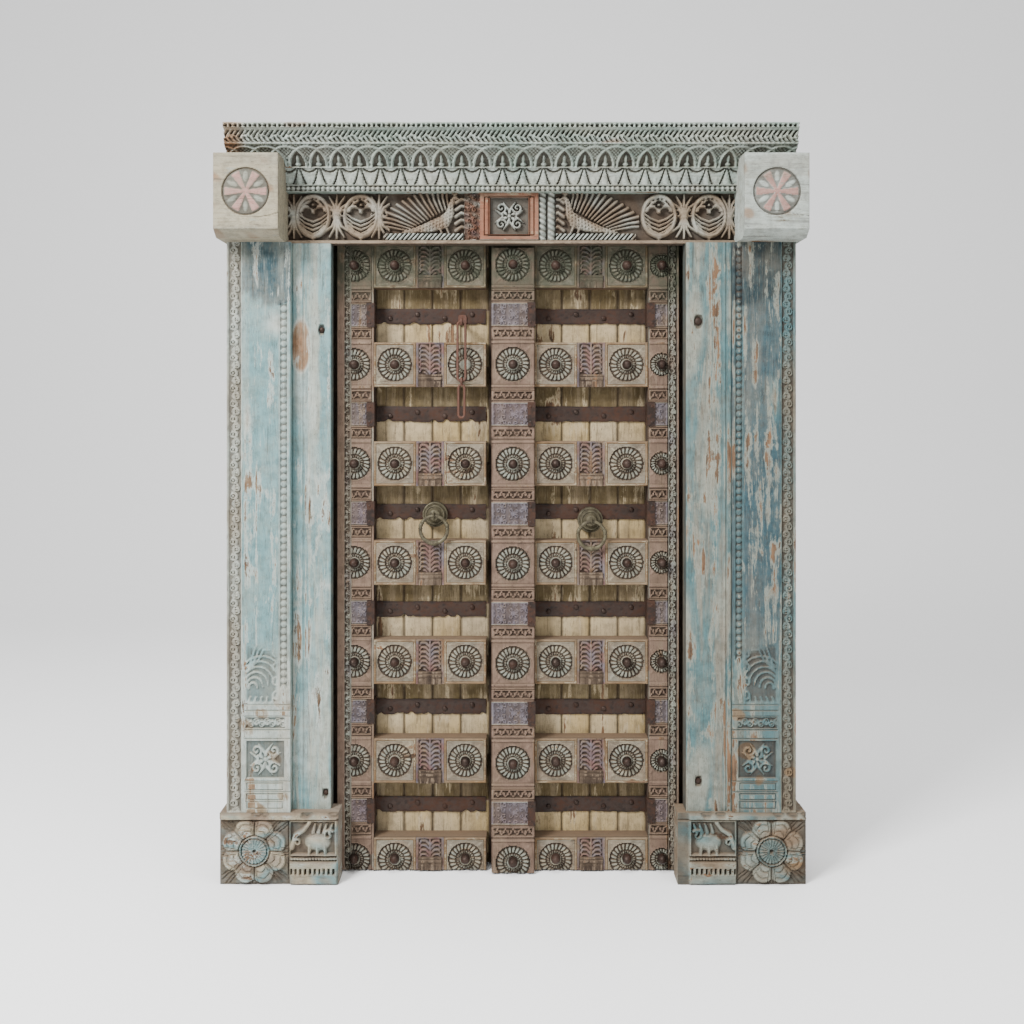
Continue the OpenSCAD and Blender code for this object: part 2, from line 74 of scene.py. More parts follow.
# Rear strip of the meeting stile: its width, and its reach before and behind the stile's back
MEETING_STRIP = (8.6 * MM, 38 * MM, 17 * MM)


# ---------------------------------------------------------------- settings

class DoorCarving(bpy.types.PropertyGroup):
    """Sizes of the carved patterns"""
    cell: FloatProperty(name="Carving cell", unit="LENGTH", default=2.9 * MM,
                        description="Spacing of the points that carry a carved surface")
    petals: IntProperty(name="Rosette petals", default=22, min=8, max=32,
                        description="Fluted petals round a rosette")
    arch_pitch: FloatProperty(name="Arch pitch", unit="LENGTH", default=61 * MM,
                              description="Distance from one cornice arch to the next")
    bead_pitch: FloatProperty(name="Bead pitch", unit="LENGTH", default=15 * MM,
                              description="Distance from one cornice bead to the next")
    post_bead: FloatProperty(name="Post bead pitch", unit="LENGTH", default=21 * MM,
                             description="Distance from one bead to the next along a post")
    vine_pitch: FloatProperty(name="Vine pitch", unit="LENGTH", default=46 * MM,
                              description="Length of one turn of the vine along a post")
    post_depth: FloatProperty(name="Post carving depth", unit="LENGTH", default=8 * MM,
                              description="Depth of the carving on the posts")
    frieze_depth: FloatProperty(name="Frieze depth", unit="LENGTH", default=22 * MM,
                                description="Depth of the carving on the lintel")
    cornice_depth: FloatProperty(name="Cornice depth", unit="LENGTH", default=16 * MM,
                                 description="Depth of the carving on the cornice")
    stile_depth: FloatProperty(name="Stile depth", unit="LENGTH", default=8 * MM,
                               description="Depth of the carving on the stiles")


def colour_prop(name, value, words):
    """A colour setting with its name, default and description."""
    return FloatVectorProperty(name=name, subtype="COLOR", size=3, min=0, max=1, default=value,
                               description=words)


class DoorColours(bpy.types.PropertyGroup):
    """Paint, timber and metal colours"""
    turquoise: colour_prop("Turquoise paint", (0.055, 0.114, 0.120), "Main paint of the right jamb")
    # A lighter copy of the turquoise for the left side: painted light from the key lamp on the left.
    lit_turquoise: colour_prop("Pale turquoise paint", (0.105, 0.200, 0.208), "Main paint of the left post")
    deep_blue: colour_prop("Deep blue paint", (0.024, 0.055, 0.067), "Main paint of the right post")
    # A darker blue for the top of the right post: painted shadow under its corner block.
    post_top_shadow_blue: colour_prop("Night blue paint", (0.012, 0.028, 0.034), "Top of the right post")
    chalk: colour_prop("Chalky undercoat", (0.190, 0.200, 0.165), "Pale undercoat that wear uncovers")
    bare: colour_prop("Bare timber", (0.165, 0.086, 0.042), "Orange-brown timber under the paint")
    # Dark timber is also the painted shade laid in cuts, on side walls and on hidden strips.
    dark_timber: colour_prop("Dark timber", (0.022, 0.013, 0.008), "Timber in deep cuts and shade")
    sea_green: colour_prop("Sea green paint", (0.190, 0.245, 0.210), "Paint of the cornice")
    cream: colour_prop("Cream paint", (0.260, 0.230, 0.160), "Paint of the left corner block")
    dust: colour_prop("Dust", (0.140, 0.098, 0.062), "Dust lying in the carving")
    lavender: colour_prop("Lavender paint", (0.100, 0.090, 0.106), "Paint of the stiles' square panels")
    mauve: colour_prop("Mauve paint", (0.115, 0.060, 0.056), "Paint of the leaf carvings")
    yellow: colour_prop("Yellow paint", (0.330, 0.240, 0.110), "Paint left on the boards")
    terracotta: colour_prop("Terracotta paint", (0.170, 0.066, 0.038), "Paint of the frieze's panel")
    board_shadow_olive: colour_prop("Olive grime", (0.085, 0.060, 0.025), "Grimed paint of the boards in the shade")
    # Colour of the upper part of each board bay: painted shadow of the rail above it.
    petal: colour_prop("Petal paint", (0.300, 0.330, 0.300), "Blue-white paint of the petals")
    rust: colour_prop("Rust", (0.042, 0.018, 0.010), "Red-brown rust")
    iron: colour_prop("Iron", (0.013, 0.008, 0.006), "Dark forged iron")
    ochre: colour_prop("Ochre paint", (0.140, 0.082, 0.036), "Edges of the tiles, patches of the posts")
    sand: colour_prop("Sand paint", (0.150, 0.110, 0.076), "Faded ground of the tiles")
    straw: colour_prop("Straw paint", (0.360, 0.290, 0.180), "Cleaner paint of the boards under the straps")
    pink: colour_prop("Pink paint", (0.290, 0.160, 0.135), "Spokes of the corner blocks")
    umber: colour_prop("Umber paint", (0.135, 0.088, 0.064), "Faded brown paint of the stiles")
    # Green-black grime mixed with the painted shadow of the lintel over the top row of the leaves.
    soot: colour_prop("Soot", (0.030, 0.033, 0.020), "Green-black grime under the lintel")
    brass: colour_prop("Aged brass", (0.050, 0.042, 0.024), "Grey-olive patina")


def carving():
    return bpy.context.scene.door_carving


def paint(name):
    """A colour of the settings as red, green, blue, alpha."""
    return tuple(getattr(bpy.context.scene.door_colours, name)) + (1.0,)


# ---------------------------------------------------------------- height functions

def ramp(x, low, high):
    """0 below low, 1 above high, smooth between."""
    t = np.clip((x - low) / (high - low), 0, 1)
    return t * t * (3 - 2 * t)


def dome(distance, radius):
    """A round section of half-width radius."""
    return np.sqrt(np.clip(1 - (distance / radius) ** 2, 0, 1))


def fold(x, pitch):
    """Distance from the nearest multiple of pitch, signed."""
    return (x + pitch / 2) % pitch - pitch / 2


def waver(u, v, length, seed):
    """Slow uneven waves between -1 and 1, for hand-cut surfaces."""
    draw = np.random.default_rng(seed)
    total = 0
    for _ in range(5):
        angle, phase = draw.uniform(0, TAU, 2)
        wave = length * draw.uniform(0.6, 1.8)
        total = total + np.sin(TAU * (u * math.cos(angle) + v * math.sin(angle)) / wave + phase)
    return total / 3.2


def stroke(u, v, points, wide, narrow=None):
    """A rounded stroke along points, from half-width wide to half-width narrow."""
    narrow = wide if narrow is None else narrow
    height = np.zeros(np.broadcast(u, v).shape)
    steps = len(points) - 1
    for k in range(steps):
        (ax, ay), (bx, by) = points[k], points[k + 1]
        length = max((bx - ax) ** 2 + (by - ay) ** 2, 1e-12)
        along = np.clip(((u - ax) * (bx - ax) + (v - ay) * (by - ay)) / length, 0, 1)
        gap = np.hypot(u - ax - along * (bx - ax), v - ay - along * (by - ay))
        half = wide + (narrow - wide) * (k + along) / steps
        height = np.maximum(height, dome(gap, half))
    return height


def arc(cx, cy, radius, start, end, steps=10, squash=1.0):
    """Points on an arc, angles in degrees."""
    angles = np.radians(np.linspace(start, end, steps + 1))
    return [(cx + radius * math.cos(a), cy + squash * radius * math.sin(a)) for a in angles]


def curl(cx, cy, radius, start, sweep, steps=16):
    """Points of a spiral that closes on its middle; start and sweep in degrees."""
    points = []
    for k in range(steps + 1):
        t = k / steps
        a = math.radians(start + sweep * t)
        r = radius * (1 - 0.82 * t)
        points.append((cx + r * math.cos(a), cy + r * math.sin(a)))
    return points


def flower(u, v, inner, outer, count, turn=0.0, point=0.25):
    """A ring of rounded petals between two radii round the origin."""
    r = np.hypot(u, v)
    lean = np.arctan2(v, u) + 0.22 * (r - inner) / outer
    across = np.abs((lean / TAU * count + turn) % 1 - 0.5) * 2.55
    tip = outer * (1 - point * across ** 2)
    along = (r - inner) / (outer - inner)
    body = np.sqrt(np.clip(1 - across ** 2.4, 0, 1)) * ramp(tip - r, 0, 0.12 * outer)
    return body * ramp(along, -0.02, 0.10)


def beads(along, across, pitch, radius):
    """A row of round beads."""
    return dome(np.hypot(fold(along, pitch), across), radius)


def rope(along, across, pitch, half):
    """A twisted cord of half-width half."""
    twist = 0.5 + 0.5 * np.cos(TAU * (along / pitch + across / half * 0.38))
    return dome(across, half) * (0.45 + 0.55 * twist ** 0.7)


def vine(along, across, pitch, half):
    """A running vine: a wavy stem with a round leaf and a berry in each bend."""
    swing = half * 0.42
    stem = dome(across - swing * np.sin(TAU * along / pitch), half * 0.17)
    height = stem * 0.9
    for side in (-1, 1):
        a = fold(along - side * pitch / 4, pitch)
        b = across + side * swing * 0.72
        ring = dome(np.abs(np.hypot(a, b) - half * 0.46), half * 0.15)
        berry = dome(np.hypot(a, b), half * 0.24)
        leaf = dome(np.hypot((a - pitch * 0.19) * 1.1, (b + side * half * 0.1) * 1.6), half * 0.40)
        height = np.maximum.reduce([height, ring * 0.85, berry, leaf * 0.75])
    return height


def scrollwork(u, v, pitch, seed):
    """All-over leafy scrolls for small panels."""
    draw = np.random.default_rng(seed)
    height = np.zeros(np.broadcast(u, v).shape)
    a = fold(u, pitch)
    b = fold(v + 0.5 * pitch * (np.floor((u + pitch / 2) / pitch) % 2), pitch)
    hand = 1 if draw.random() < 0.5 else -1
    for quarter in range(4):
        turn = math.radians(90 * quarter)
        x = a * math.cos(turn) + b * math.sin(turn)
        y = -a * math.sin(turn) + b * math.cos(turn)
        height = np.maximum(height, stroke(x, y * hand, curl(pitch * 0.25, pitch * 0.22, pitch * 0.21,
                                                             200, 400, 9), pitch * 0.06, pitch * 0.04))
    return np.maximum(height, dome(np.hypot(a, b), pitch * 0.13))


# ---------------------------------------------------------------- meshes

class Cutting:
    """Collects the surfaces of one piece, with the carved height and a tint of every point."""

    def __init__(self):
        self.points, self.heights, self.tints = [], [], []
        self.faces, self.slots = [], []
        self.count = 0

    def add(self, points, faces, height, tint=0.0, slot=0):
        points = np.asarray(points, float).reshape(-1, 3)
        n = len(points)
        self.points.append(points)
        self.heights.append(np.broadcast_to(np.asarray(height, float).ravel(), n).copy()
                            if np.size(height) in (1, n) else np.asarray(height))
        self.tints.append(np.broadcast_to(np.asarray(tint, float).ravel(), n).copy())
        for face in faces:
            self.faces.append([int(i) + self.count for i in face])
        self.slots += [slot] * len(faces)
        self.count += n

    def make(self, name, materials, body, nodes, smooth=35):
        """Turns the collection into an object that rides on body in place of nodes."""
        mesh = bpy.data.meshes.new(name)
        points = np.vstack(self.points)
        mesh.from_pydata(points.tolist(), [], self.faces)
        mesh.polygons.foreach_set("material_index", self.slots)
        for label, values in (("carve", self.heights), ("tint", self.tints)):
            layer = mesh.attributes.new(label, "FLOAT", "POINT")
            layer.data.foreach_set("value", np.concatenate(values))
        mesh.update()
        piece = bpy.data.objects.new(name, mesh)
        bpy.context.scene.collection.objects.link(piece)
        for material in materials:
            mesh.materials.append(material)
        mesh.polygons.foreach_set("use_smooth", [True] * len(mesh.polygons))
        mesh.set_sharp_from_angle(angle=math.radians(smooth))
        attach(piece, body)
        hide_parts(*nodes)
        return piece


def relief(cut, u, v, height, place, back, tint=0.0, slot=0, edge=1.0):
    """A closed slab whose front carries a carved height field; place(u, v, height) gives its points."""
    grid_u, grid_v = np.meshgrid(u, v)
    nu, nv = len(u), len(v)
    front = place(grid_u, grid_v, height).reshape(-1, 3)
    index = np.arange(nu * nv).reshape(nv, nu)
    quads = np.stack([index[:-1, :-1], index[:-1, 1:], index[1:, 1:], index[1:, :-1]], -1).reshape(-1, 4)
    loop = np.concatenate([index[0, :], index[1:, -1], index[-1, -2::-1], index[-2:0:-1, 0]])
    rear = back(grid_u.ravel()[loop], grid_v.ravel()[loop])
    n = len(loop)
    rim = front[loop] + 0.08 * (rear - front[loop])
    near = nu * nv + np.arange(n)
    far = near + n
    faces = quads.tolist() + [far[::-1].tolist()]
    for a, b in ((loop, near), (near, far)):
        faces += np.stack([a, b, np.roll(b, -1), np.roll(a, -1)], -1).tolist()
    # The side walls and back carry the carve value edge; a low value darkens them through the paint's cut
    # darkening, a painted shade on the sides.
    heights = np.concatenate([height.ravel(), np.full(2 * n, edge)])
    tints = np.concatenate([np.broadcast_to(tint, height.shape).ravel(), np.full(2 * n, 0.0)])
    cut.add(np.vstack([front, rim, rear]), faces, heights, tints, slot)


def flat_back(y):
    """A back for relief: the plane at depth y."""
    return lambda x, z: np.stack([x, np.full_like(x, y), z], -1)


# Its sides default to a low carve value, which gives them painted shade.
def flat_relief(cut, low, high, shape, depth, cell=None, tint=None, slot=0, edge=0.2):
    """A carved board facing the front: shape(x, z) gives its height, low and high are its corners."""
    cell = cell or carving().cell
    cell_u, cell_v = cell if isinstance(cell, tuple) else (cell, cell)
    u = np.linspace(low[0], high[0], max(int(round((high[0] - low[0]) / cell_u)), 1) + 1)
    v = np.linspace(low[2], high[2], max(int(round((high[2] - low[2]) / cell_v)), 1) + 1)
    grid_u, grid_v = np.meshgrid(u, v)
    height = np.broadcast_to(shape(grid_u, grid_v), grid_u.shape)
    shade = tint(grid_u, grid_v) if tint else 0.0

    def place(x, z, h):
        return np.stack([x, low[1] + (1 - h) * depth, z], -1)

    relief(cut, u, v, height, place, flat_back(high[1]), shade, slot, edge)


def block(cut, low, high, bevel=1.5 * MM, height=0.9, tint=0.0, slot=0):
    """A squared timber or bar with small chamfers."""
    low, high = np.array(low, float), np.array(high, float)
    b = min(bevel, (high - low).min() * 0.3)
    points, faces, corner = [], [], {}
    for key in product((0, 1), repeat=3):
        for axis in range(3):
            corner[(*key, axis)] = len(points)
            points.append([(low, high)[s][k] + (0 if k == axis else (b if s == 0 else -b))
                           for k, s in enumerate(key)])
    middle = (low + high) / 2

    def face(keys):
        ids = [corner[k] for k in keys]
        a, b_, c = (np.array(points[i]) for i in ids[:3])
        centre = sum(np.array(points[i]) for i in ids) / len(ids)
        if np.dot(np.cross(b_ - a, c - b_), centre - middle) < 0:
            ids = ids[::-1]
        faces.append(ids)

    for axis in range(3):
        p, q = [k for k in range(3) if k != axis]
        for s in (0, 1):
            ring = []
            for a, b_ in ((0, 0), (1, 0), (1, 1), (0, 1)):
                key = [0, 0, 0]
                key[axis], key[p], key[q] = s, a, b_
                ring.append((*key, axis))
            face(ring)
        for a, b_ in product((0, 1), repeat=2):
            low_key, high_key = [0, 0, 0], [0, 0, 0]
            low_key[p] = high_key[p] = a
            low_key[q] = high_key[q] = b_
            high_key[axis] = 1
            face([(*low_key, p), (*low_key, q), (*high_key, q), (*high_key, p)])
    for key in product((0, 1), repeat=3):
        face([(*key, axis) for axis in range(3)])
    cut.add(points, faces, height, tint, slot)


def turned(cut, centre, profile, steps=32, wobble=None, tint=0.0, slot=0, height=0.9):
    """A turned form whose axis points to the front; profile is (radius, distance forward) pairs."""
    angles = np.arange(steps) / steps * TAU
    points, faces = [], []
    for radius, forward in profile:
        for a in angles:
            r = radius * (1 + (wobble(a, forward) if wobble else 0))
            points.append((centre[0] + r * math.cos(a), centre[1] - forward, centre[2] + r * math.sin(a)))
    for k in range(len(profile) - 1):
        for i in range(steps):
            j = (i + 1) % steps
            faces.append((k * steps + i, k * steps + j, (k + 1) * steps + j, (k + 1) * steps + i))
    faces.append(list(range(steps))[::-1])
    last = (len(profile) - 1) * steps
    faces.append([last + i for i in range(steps)])
    cut.add(points, faces, height, tint, slot)


def tube(cut, path, radius, sides=10, closed=False, flatten=1.0, slot=0, height=0.9):
    """A bar bent along a path; radius is one number or one for each point of the path."""
    path = np.asarray(path, float)
    n = len(path)
    radii = np.broadcast_to(radius, n)
    if closed:
        ahead = np.roll(path, -1, 0) - np.roll(path, 1, 0)
    else:
        ahead = np.gradient(path, axis=0)
    ahead /= np.linalg.norm(ahead, axis=1)[:, None]
    normal = np.cross(ahead[0], (0.0, 1.0, 0.0))
    if np.linalg.norm(normal) < 0.1:
        normal = np.cross(ahead[0], (1.0, 0.0, 0.0))
    points = []
    for k in range(n):
        normal = normal - ahead[k] * np.dot(normal, ahead[k])
        normal /= np.linalg.norm(normal)
        side = np.cross(ahead[k], normal)
        for i in range(sides):
            a = i / sides * TAU
            points.append(path[k] + radii[k] * (normal * math.cos(a) + side * math.sin(a) * flatten))
    faces = []
    for k in range(n if closed else n - 1):
        m = (k + 1) % n
        for i in range(sides):
            j = (i + 1) % sides
            faces.append((k * sides + i, m * sides + i, m * sides + j, k * sides + j)[::-1])
    if not closed:
        faces.append(list(range(sides)))
        faces.append([(n - 1) * sides + i for i in range(sides)][::-1])
    cut.add(points, faces, height, 0.0, slot)


# ---------------------------------------------------------------- shader graphs

def add(tree, kind, inputs=None, **settings):
    """A node with its settings; each input is a socket to link or a plain value."""
    node = tree.nodes.new(kind)
    for key, value in settings.items():
        setattr(node, key, value)
    for key, value in (inputs or {}).items():
        if isinstance(value, bpy.types.NodeSocket):
            tree.links.new(value, node.inputs[key])
        else:
            node.inputs[key].default_value = value
    return node


def calc(tree, operation, a, b=0.5, clamp=False):
    return add(tree, "ShaderNodeMath", {0: a, 1: b}, operation=operation,
               use_clamp=clamp).outputs[0]


def times(tree, a, b, clamp=False):
    return calc(tree, "MULTIPLY", a, b, clamp)


def plus(tree, a, b, clamp=False):
    return calc(tree, "ADD", a, b, clamp)


def minus(tree, a, b, clamp=False):
    return calc(tree, "SUBTRACT", a, b, clamp)


def mix(tree, factor, a, b, blend="MIX"):
    """Mixes two colours."""
    return add(tree, "ShaderNodeMix", {0: factor, 6: a, 7: b}, data_type="RGBA",
               blend_type=blend, clamp_factor=True).outputs[2]


def step(tree, value, low, high):
    """0 below low, 1 above high; low above high turns it round."""
    node = add(tree, "ShaderNodeMapRange", {0: value, 1: low, 2: high}, interpolation_type="SMOOTHSTEP")
    return node.outputs[0]


def noise(tree, vector, scale, detail=4.0, rough=0.55, bend=0.0):
    inputs = {"Vector": vector, "Scale": scale, "Detail": detail, "Roughness": rough,
              "Distortion": bend}
    return add(tree, "ShaderNodeTexNoise", inputs).outputs["Fac"]


def stretched(tree, vector, scale):
    return add(tree, "ShaderNodeMapping", {"Vector": vector, "Scale": scale}).outputs[0]


def new_group(name, inputs, outputs):
    """An empty shader group; inputs are (name, kind, default), outputs are (name, kind)."""
    tree = bpy.data.node_groups.new(name, "ShaderNodeTree")
    for label, kind, default in inputs:
        socket = tree.interface.new_socket(label, in_out="INPUT", socket_type="NodeSocket" + kind)
        if default is not None:
            socket.default_value = default
    for label, kind in outputs:
        tree.interface.new_socket(label, in_out="OUTPUT", socket_type="NodeSocket" + kind)
    return tree, tree.nodes.new("NodeGroupInput").outputs, tree.nodes.new("NodeGroupOutput")


def give(tree, result, **values):
    """Links values to a group's outputs."""
    for key, value in values.items():
        tree.links.new(value, result.inputs[key])


def grain_group():
    """Long timber grain: a streak mask, dark checks and a height."""
    tree, given, result = new_group(
        "Timber Grain", [("Vector", "Vector", None), ("Coarse", "Float", 1.0)],
        [("Streaks", "Float"), ("Checks", "Float"), ("Height", "Float")])
    scale = times(tree, given["Coarse"], 60.0)
    wide = noise(tree, given["Vector"], scale, 5.0, 0.6, 0.6)
    fine = noise(tree, given["Vector"], times(tree, given["Coarse"], 330.0), 3.0, 0.7)
    split = noise(tree, given["Vector"], times(tree, given["Coarse"], 95.0), 6.0, 0.6, 1.4)
    line = calc(tree, "ABSOLUTE", minus(tree, split, 0.5))
    checks = step(tree, line, 0.012, 0.0)
    streaks = plus(tree, times(tree, wide, 0.6), times(tree, fine, 0.4))
    height = minus(tree, streaks, times(tree, checks, 0.6))
    give(tree, result, Streaks=step(tree, streaks, 0.35, 0.65), Checks=checks, Height=height)
    return tree


def paint_group(grain):
    """Old paint on carved timber: chalky layer, bare timber and dust, with painted shade in the cuts and a
    painted shadow of the lintel, mixed with grime, over the top row.
    """
    colours = ("Paint", "Accent A", "Accent B", "Accent C", "Undercoat", "Timber", "Shade", "Dust",
               "Soot")
    tree, given, result = new_group(
        "Worn Paint",
        [("Vector", "Vector", None), ("Grain Vector", "Vector", None)]
        + [(c, "Color", (0.5, 0.5, 0.5, 1.0)) for c in colours]
        # Depth sets how strongly low carve values are darkened, a painted shade; the line input is the
        # height above which the painted shadow of the lintel, mixed with grime, falls.
        + [("Wear", "Float", 0.5), ("Dusty", "Float", 0.4), ("Carve", "Float", 1.0),
           ("Tint", "Float", 0.0), ("Depth", "Float", 0.7), ("Soot Line", "Float", 9.0),
           ("Drift", "Float", 0.4)],
        [("Color", "Color"), ("Roughness", "Float"), ("Height", "Float")])
    lines = add(tree, "ShaderNodeGroup", {}, node_tree=grain)
    tree.links.new(given["Grain Vector"], lines.inputs["Vector"])
    spot = given["Vector"]
    ground = mix(tree, times(tree, given["Tint"], -1.0, True), given["Paint"], given["Accent C"])
    paint = mix(tree, plus(tree, given["Tint"], 0.0, True), ground, given["Accent A"])
    paint = mix(tree, minus(tree, given["Tint"], 1.0, True), paint, given["Accent B"])
    paint = mix(tree, minus(tree, given["Tint"], 2.0, True), paint, given["Accent C"])
    clouds = noise(tree, spot, 5.0, 5.0, 0.6)
    mottle = noise(tree, spot, 38.0, 5.0, 0.65)
    paint = mix(tree, times(tree, step(tree, clouds, 0.44, 0.66), 0.16), paint, given["Undercoat"])
    drift = step(tree, noise(tree, given["Grain Vector"], 17.0, 6.0, 0.62, 0.4), 0.47, 0.60)
    paint = mix(tree, times(tree, drift, given["Drift"]), paint,
                mix(tree, clouds, given["Dust"], given["Undercoat"]))
    scratch = step(tree, noise(tree, given["Grain Vector"], 210.0, 4.0, 0.75), 0.53, 0.66)
    paint = mix(tree, times(tree, scratch, 0.30), paint, given["Undercoat"])
    stain = step(tree, noise(tree, given["Grain Vector"], 90.0, 6.0, 0.7, 0.4), 0.57, 0.66)
    paint = mix(tree, times(tree, stain, 0.45), paint, given["Shade"])
    paint = mix(tree, times(tree, step(tree, mottle, 0.40, 0.68), 0.28), paint,
                given["Shade"], "MULTIPLY")
    timber = mix(tree, lines.outputs["Streaks"], given["Timber"], given["Shade"])
    timber = mix(tree, times(tree, step(tree, mottle, 0.35, 0.7), 0.35), timber, given["Dust"])
    ragged = noise(tree, given["Grain Vector"], 26.0, 8.0, 0.72, 0.5)
    patches = noise(tree, stretched(tree, spot, (1, 1, 0.55)), 13.0, 8.0, 0.70, 0.3)
    flake = plus(tree, times(tree, ragged, 0.58), times(tree, patches, 0.42))
    edge = times(tree, step(tree, given["Carve"], 0.72, 1.0), 0.055)
    flake = plus(tree, flake, edge)
    amount = times(tree, given["Wear"], 0.30)
    level = minus(tree, 0.70, amount)
    thin = step(tree, minus(tree, flake, level), -0.045, -0.008)
    gone = step(tree, minus(tree, flake, level), 0.0, 0.020)
    color = mix(tree, times(tree, thin, 0.75), paint, given["Undercoat"])
    color = mix(tree, gone, color, timber)
    color = mix(tree, times(tree, lines.outputs["Checks"], 0.65), color, given["Shade"])
    # Painted shade: where the carve value is low, in cuts, on side walls and on hidden strips, the colour
    # goes towards the dark timber by Depth.
    deep = times(tree, step(tree, given["Carve"], 0.78, 0.12), given["Depth"])
    color = mix(tree, deep, color, given["Shade"])
    up = add(tree, "ShaderNodeSeparateXYZ", {0: add(tree, "ShaderNodeNewGeometry").outputs["Normal"]})
    ledge = times(tree, step(tree, up.outputs[2], 0.25, 0.85), given["Dusty"])
    film = times(tree, step(tree, noise(tree, spot, 16.0, 6.0, 0.7), 0.40, 0.66),
                 times(tree, given["Dusty"], 0.45))
    color = mix(tree, calc(tree, "MAXIMUM", ledge, film), color, given["Dust"])
    # Painted shadow of the lintel mixed with grime: above the line, in mottled patches, the colour goes to
    # the dark green colour.
    rise = add(tree, "ShaderNodeSeparateXYZ", {0: spot}).outputs[2]
    rise = plus(tree, rise, times(tree, clouds, 0.10))
    shadow_grime_mask = step(tree, minus(tree, rise, given["Soot Line"]), 0.0, 0.11)
    shadow_grime_mask = times(tree, shadow_grime_mask, step(tree, mottle, 0.85, 0.35))
    color = mix(tree, times(tree, shadow_grime_mask, 0.92), color, given["Soot"])
    height = minus(tree, times(tree, lines.outputs["Height"], 0.8), times(tree, gone, 0.35))
    height = plus(tree, height, times(tree, mottle, 0.35))
    give(tree, result, Color=color, Roughness=plus(tree, 0.72, times(tree, mottle, 0.25)),
         Height=height)
    return tree


def metal_group():
    """Old forged metal: rust blooms in hollows, rubbed high spots, pitted height."""
    tree, given, result = new_group(
        "Old Metal",
        [("Vector", "Vector", None), ("Base", "Color", (0.1, 0.1, 0.1, 1.0)),
         ("Bloom", "Color", (0.2, 0.1, 0.05, 1.0)), ("Rubbed", "Color", (0.3, 0.3, 0.3, 1.0)),
         ("Amount", "Float", 0.5), ("Polish", "Float", 0.3), ("Carve", "Float", 1.0)],
        [("Color", "Color"), ("Roughness", "Float"), ("Metallic", "Float"), ("Height", "Float")])
    spots = noise(tree, given["Vector"], 70.0, 8.0, 0.7, 0.3)
    broad = noise(tree, given["Vector"], 14.0, 5.0, 0.6)
    pits = noise(tree, given["Vector"], 420.0, 4.0, 0.7)
    both = plus(tree, times(tree, spots, 0.6), times(tree, broad, 0.4))
    bloom = times(tree, step(tree, both, 0.42, 0.60), given["Amount"])
    color = mix(tree, bloom, given["Base"], given["Bloom"])
    bright = times(tree, step(tree, given["Carve"], 0.8, 1.0), given["Polish"])
    bright = times(tree, bright, step(tree, spots, 0.62, 0.40))
    color = mix(tree, bright, color, given["Rubbed"])
    dirt = times(tree, step(tree, given["Carve"], 0.6, 0.1), 0.6)
    color = mix(tree, dirt, color, (0.02, 0.014, 0.010, 1.0))
    rough = plus(tree, 0.48, times(tree, bloom, 0.35))
    give(tree, result, Color=color, Roughness=rough, Metallic=minus(tree, 0.75, bloom, True),
         Height=plus(tree, spots, times(tree, pits, 0.5)))
    return tree


def shared(name):
    """A shader group made once and then reused."""
    found = bpy.data.node_groups.get(name)
    if found:
        return found
    if name == "Timber Grain":
        return grain_group()
    if name == "Worn Paint":
        return paint_group(shared("Timber Grain"))
    return metal_group()


def new_material(name, specular):
    """A material with its node tree and its place coordinates."""
    material = bpy.data.materials.new(name)
    material.use_nodes = True
    tree = material.node_tree
    tree.nodes["Principled BSDF"].inputs["Specular IOR Level"].default_value = specular
    return material, tree, add(tree, "ShaderNodeTexCoord").outputs["Object"]


def layer(tree, label):
    """The value that a piece's points carry under a label."""
    return add(tree, "ShaderNodeAttribute", attribute_name=label).outputs["Fac"]


def wear_shader(tree, group_name, inputs, bump, distance):
    """Drives the surface from a shader group's colour, roughness and height."""
    shader = tree.nodes["Principled BSDF"]
    group = add(tree, "ShaderNodeGroup", inputs, node_tree=shared(group_name))
    normal = add(tree, "ShaderNodeBump", {"Strength": bump, "Distance": distance,
                                          "Height": group.outputs["Height"]}).outputs[0]
    for key, value in (("Base Color", group.outputs["Color"]),
                       ("Roughness", group.outputs["Roughness"]), ("Normal", normal)):
        tree.links.new(value, shader.inputs[key])
    return shader, group


def timber_material(name, paint_name, accents=(), undercoat="chalk", timber="bare", wear=0.5,
                    dusty=0.4, depth=0.7, grain=(1, 1, 0.07), bump=0.35, coarse=1.0, soot_line=9.0,
                    drift=0.4, dust="dust"):
    """Painted timber; accents are the colours of tints 1, 2 and 3, grain is short along the fibres; depth is
    the strength of the painted shade in the cuts, and above the given line the top takes a painted shadow of
    the lintel mixed with grime.
    """
    material, tree, place = new_material(name, 0.25)
    accents = (list(accents) + [paint_name] * 3)[:3]
    inputs = {"Vector": place, "Grain Vector": stretched(tree, place, tuple(g * coarse for g in grain)),
              "Paint": paint(paint_name), "Undercoat": paint(undercoat), "Timber": paint(timber),
              "Shade": paint("dark_timber"), "Dust": paint(dust), "Wear": wear, "Dusty": dusty,
              "Depth": depth, "Soot": paint("soot"), "Soot Line": soot_line, "Drift": drift,
              "Carve": layer(tree, "carve"), "Tint": layer(tree, "tint")}
    for key, colour in zip("ABC", accents):
        inputs["Accent " + key] = paint(colour)
    wear_shader(tree, "Worn Paint", inputs, bump, 1.5 * MM)
    return material


def metal_material(name, base, bloom, rubbed, amount, polish, bump=0.5, metallic=1.0):
    """Old metal with rust or patina."""
    material, tree, place = new_material(name, 0.2)
    inputs = {"Vector": place, "Base": base, "Bloom": bloom, "Rubbed": rubbed, "Amount": amount,
              "Polish": polish, "Carve": layer(tree, "carve")}
    shader, group = wear_shader(tree, "Old Metal", inputs, bump, 1 * MM)
    tree.links.new(times(tree, group.outputs["Metallic"], metallic), shader.inputs["Metallic"])
    return material


# ---------------------------------------------------------------- frame carvings

def sunk(inside, pattern, floor=0.25):
    """A pattern on a sunk ground where inside is 1, and the uncut plane elsewhere."""
    return 1 - inside * (1 - floor) * (1 - pattern)


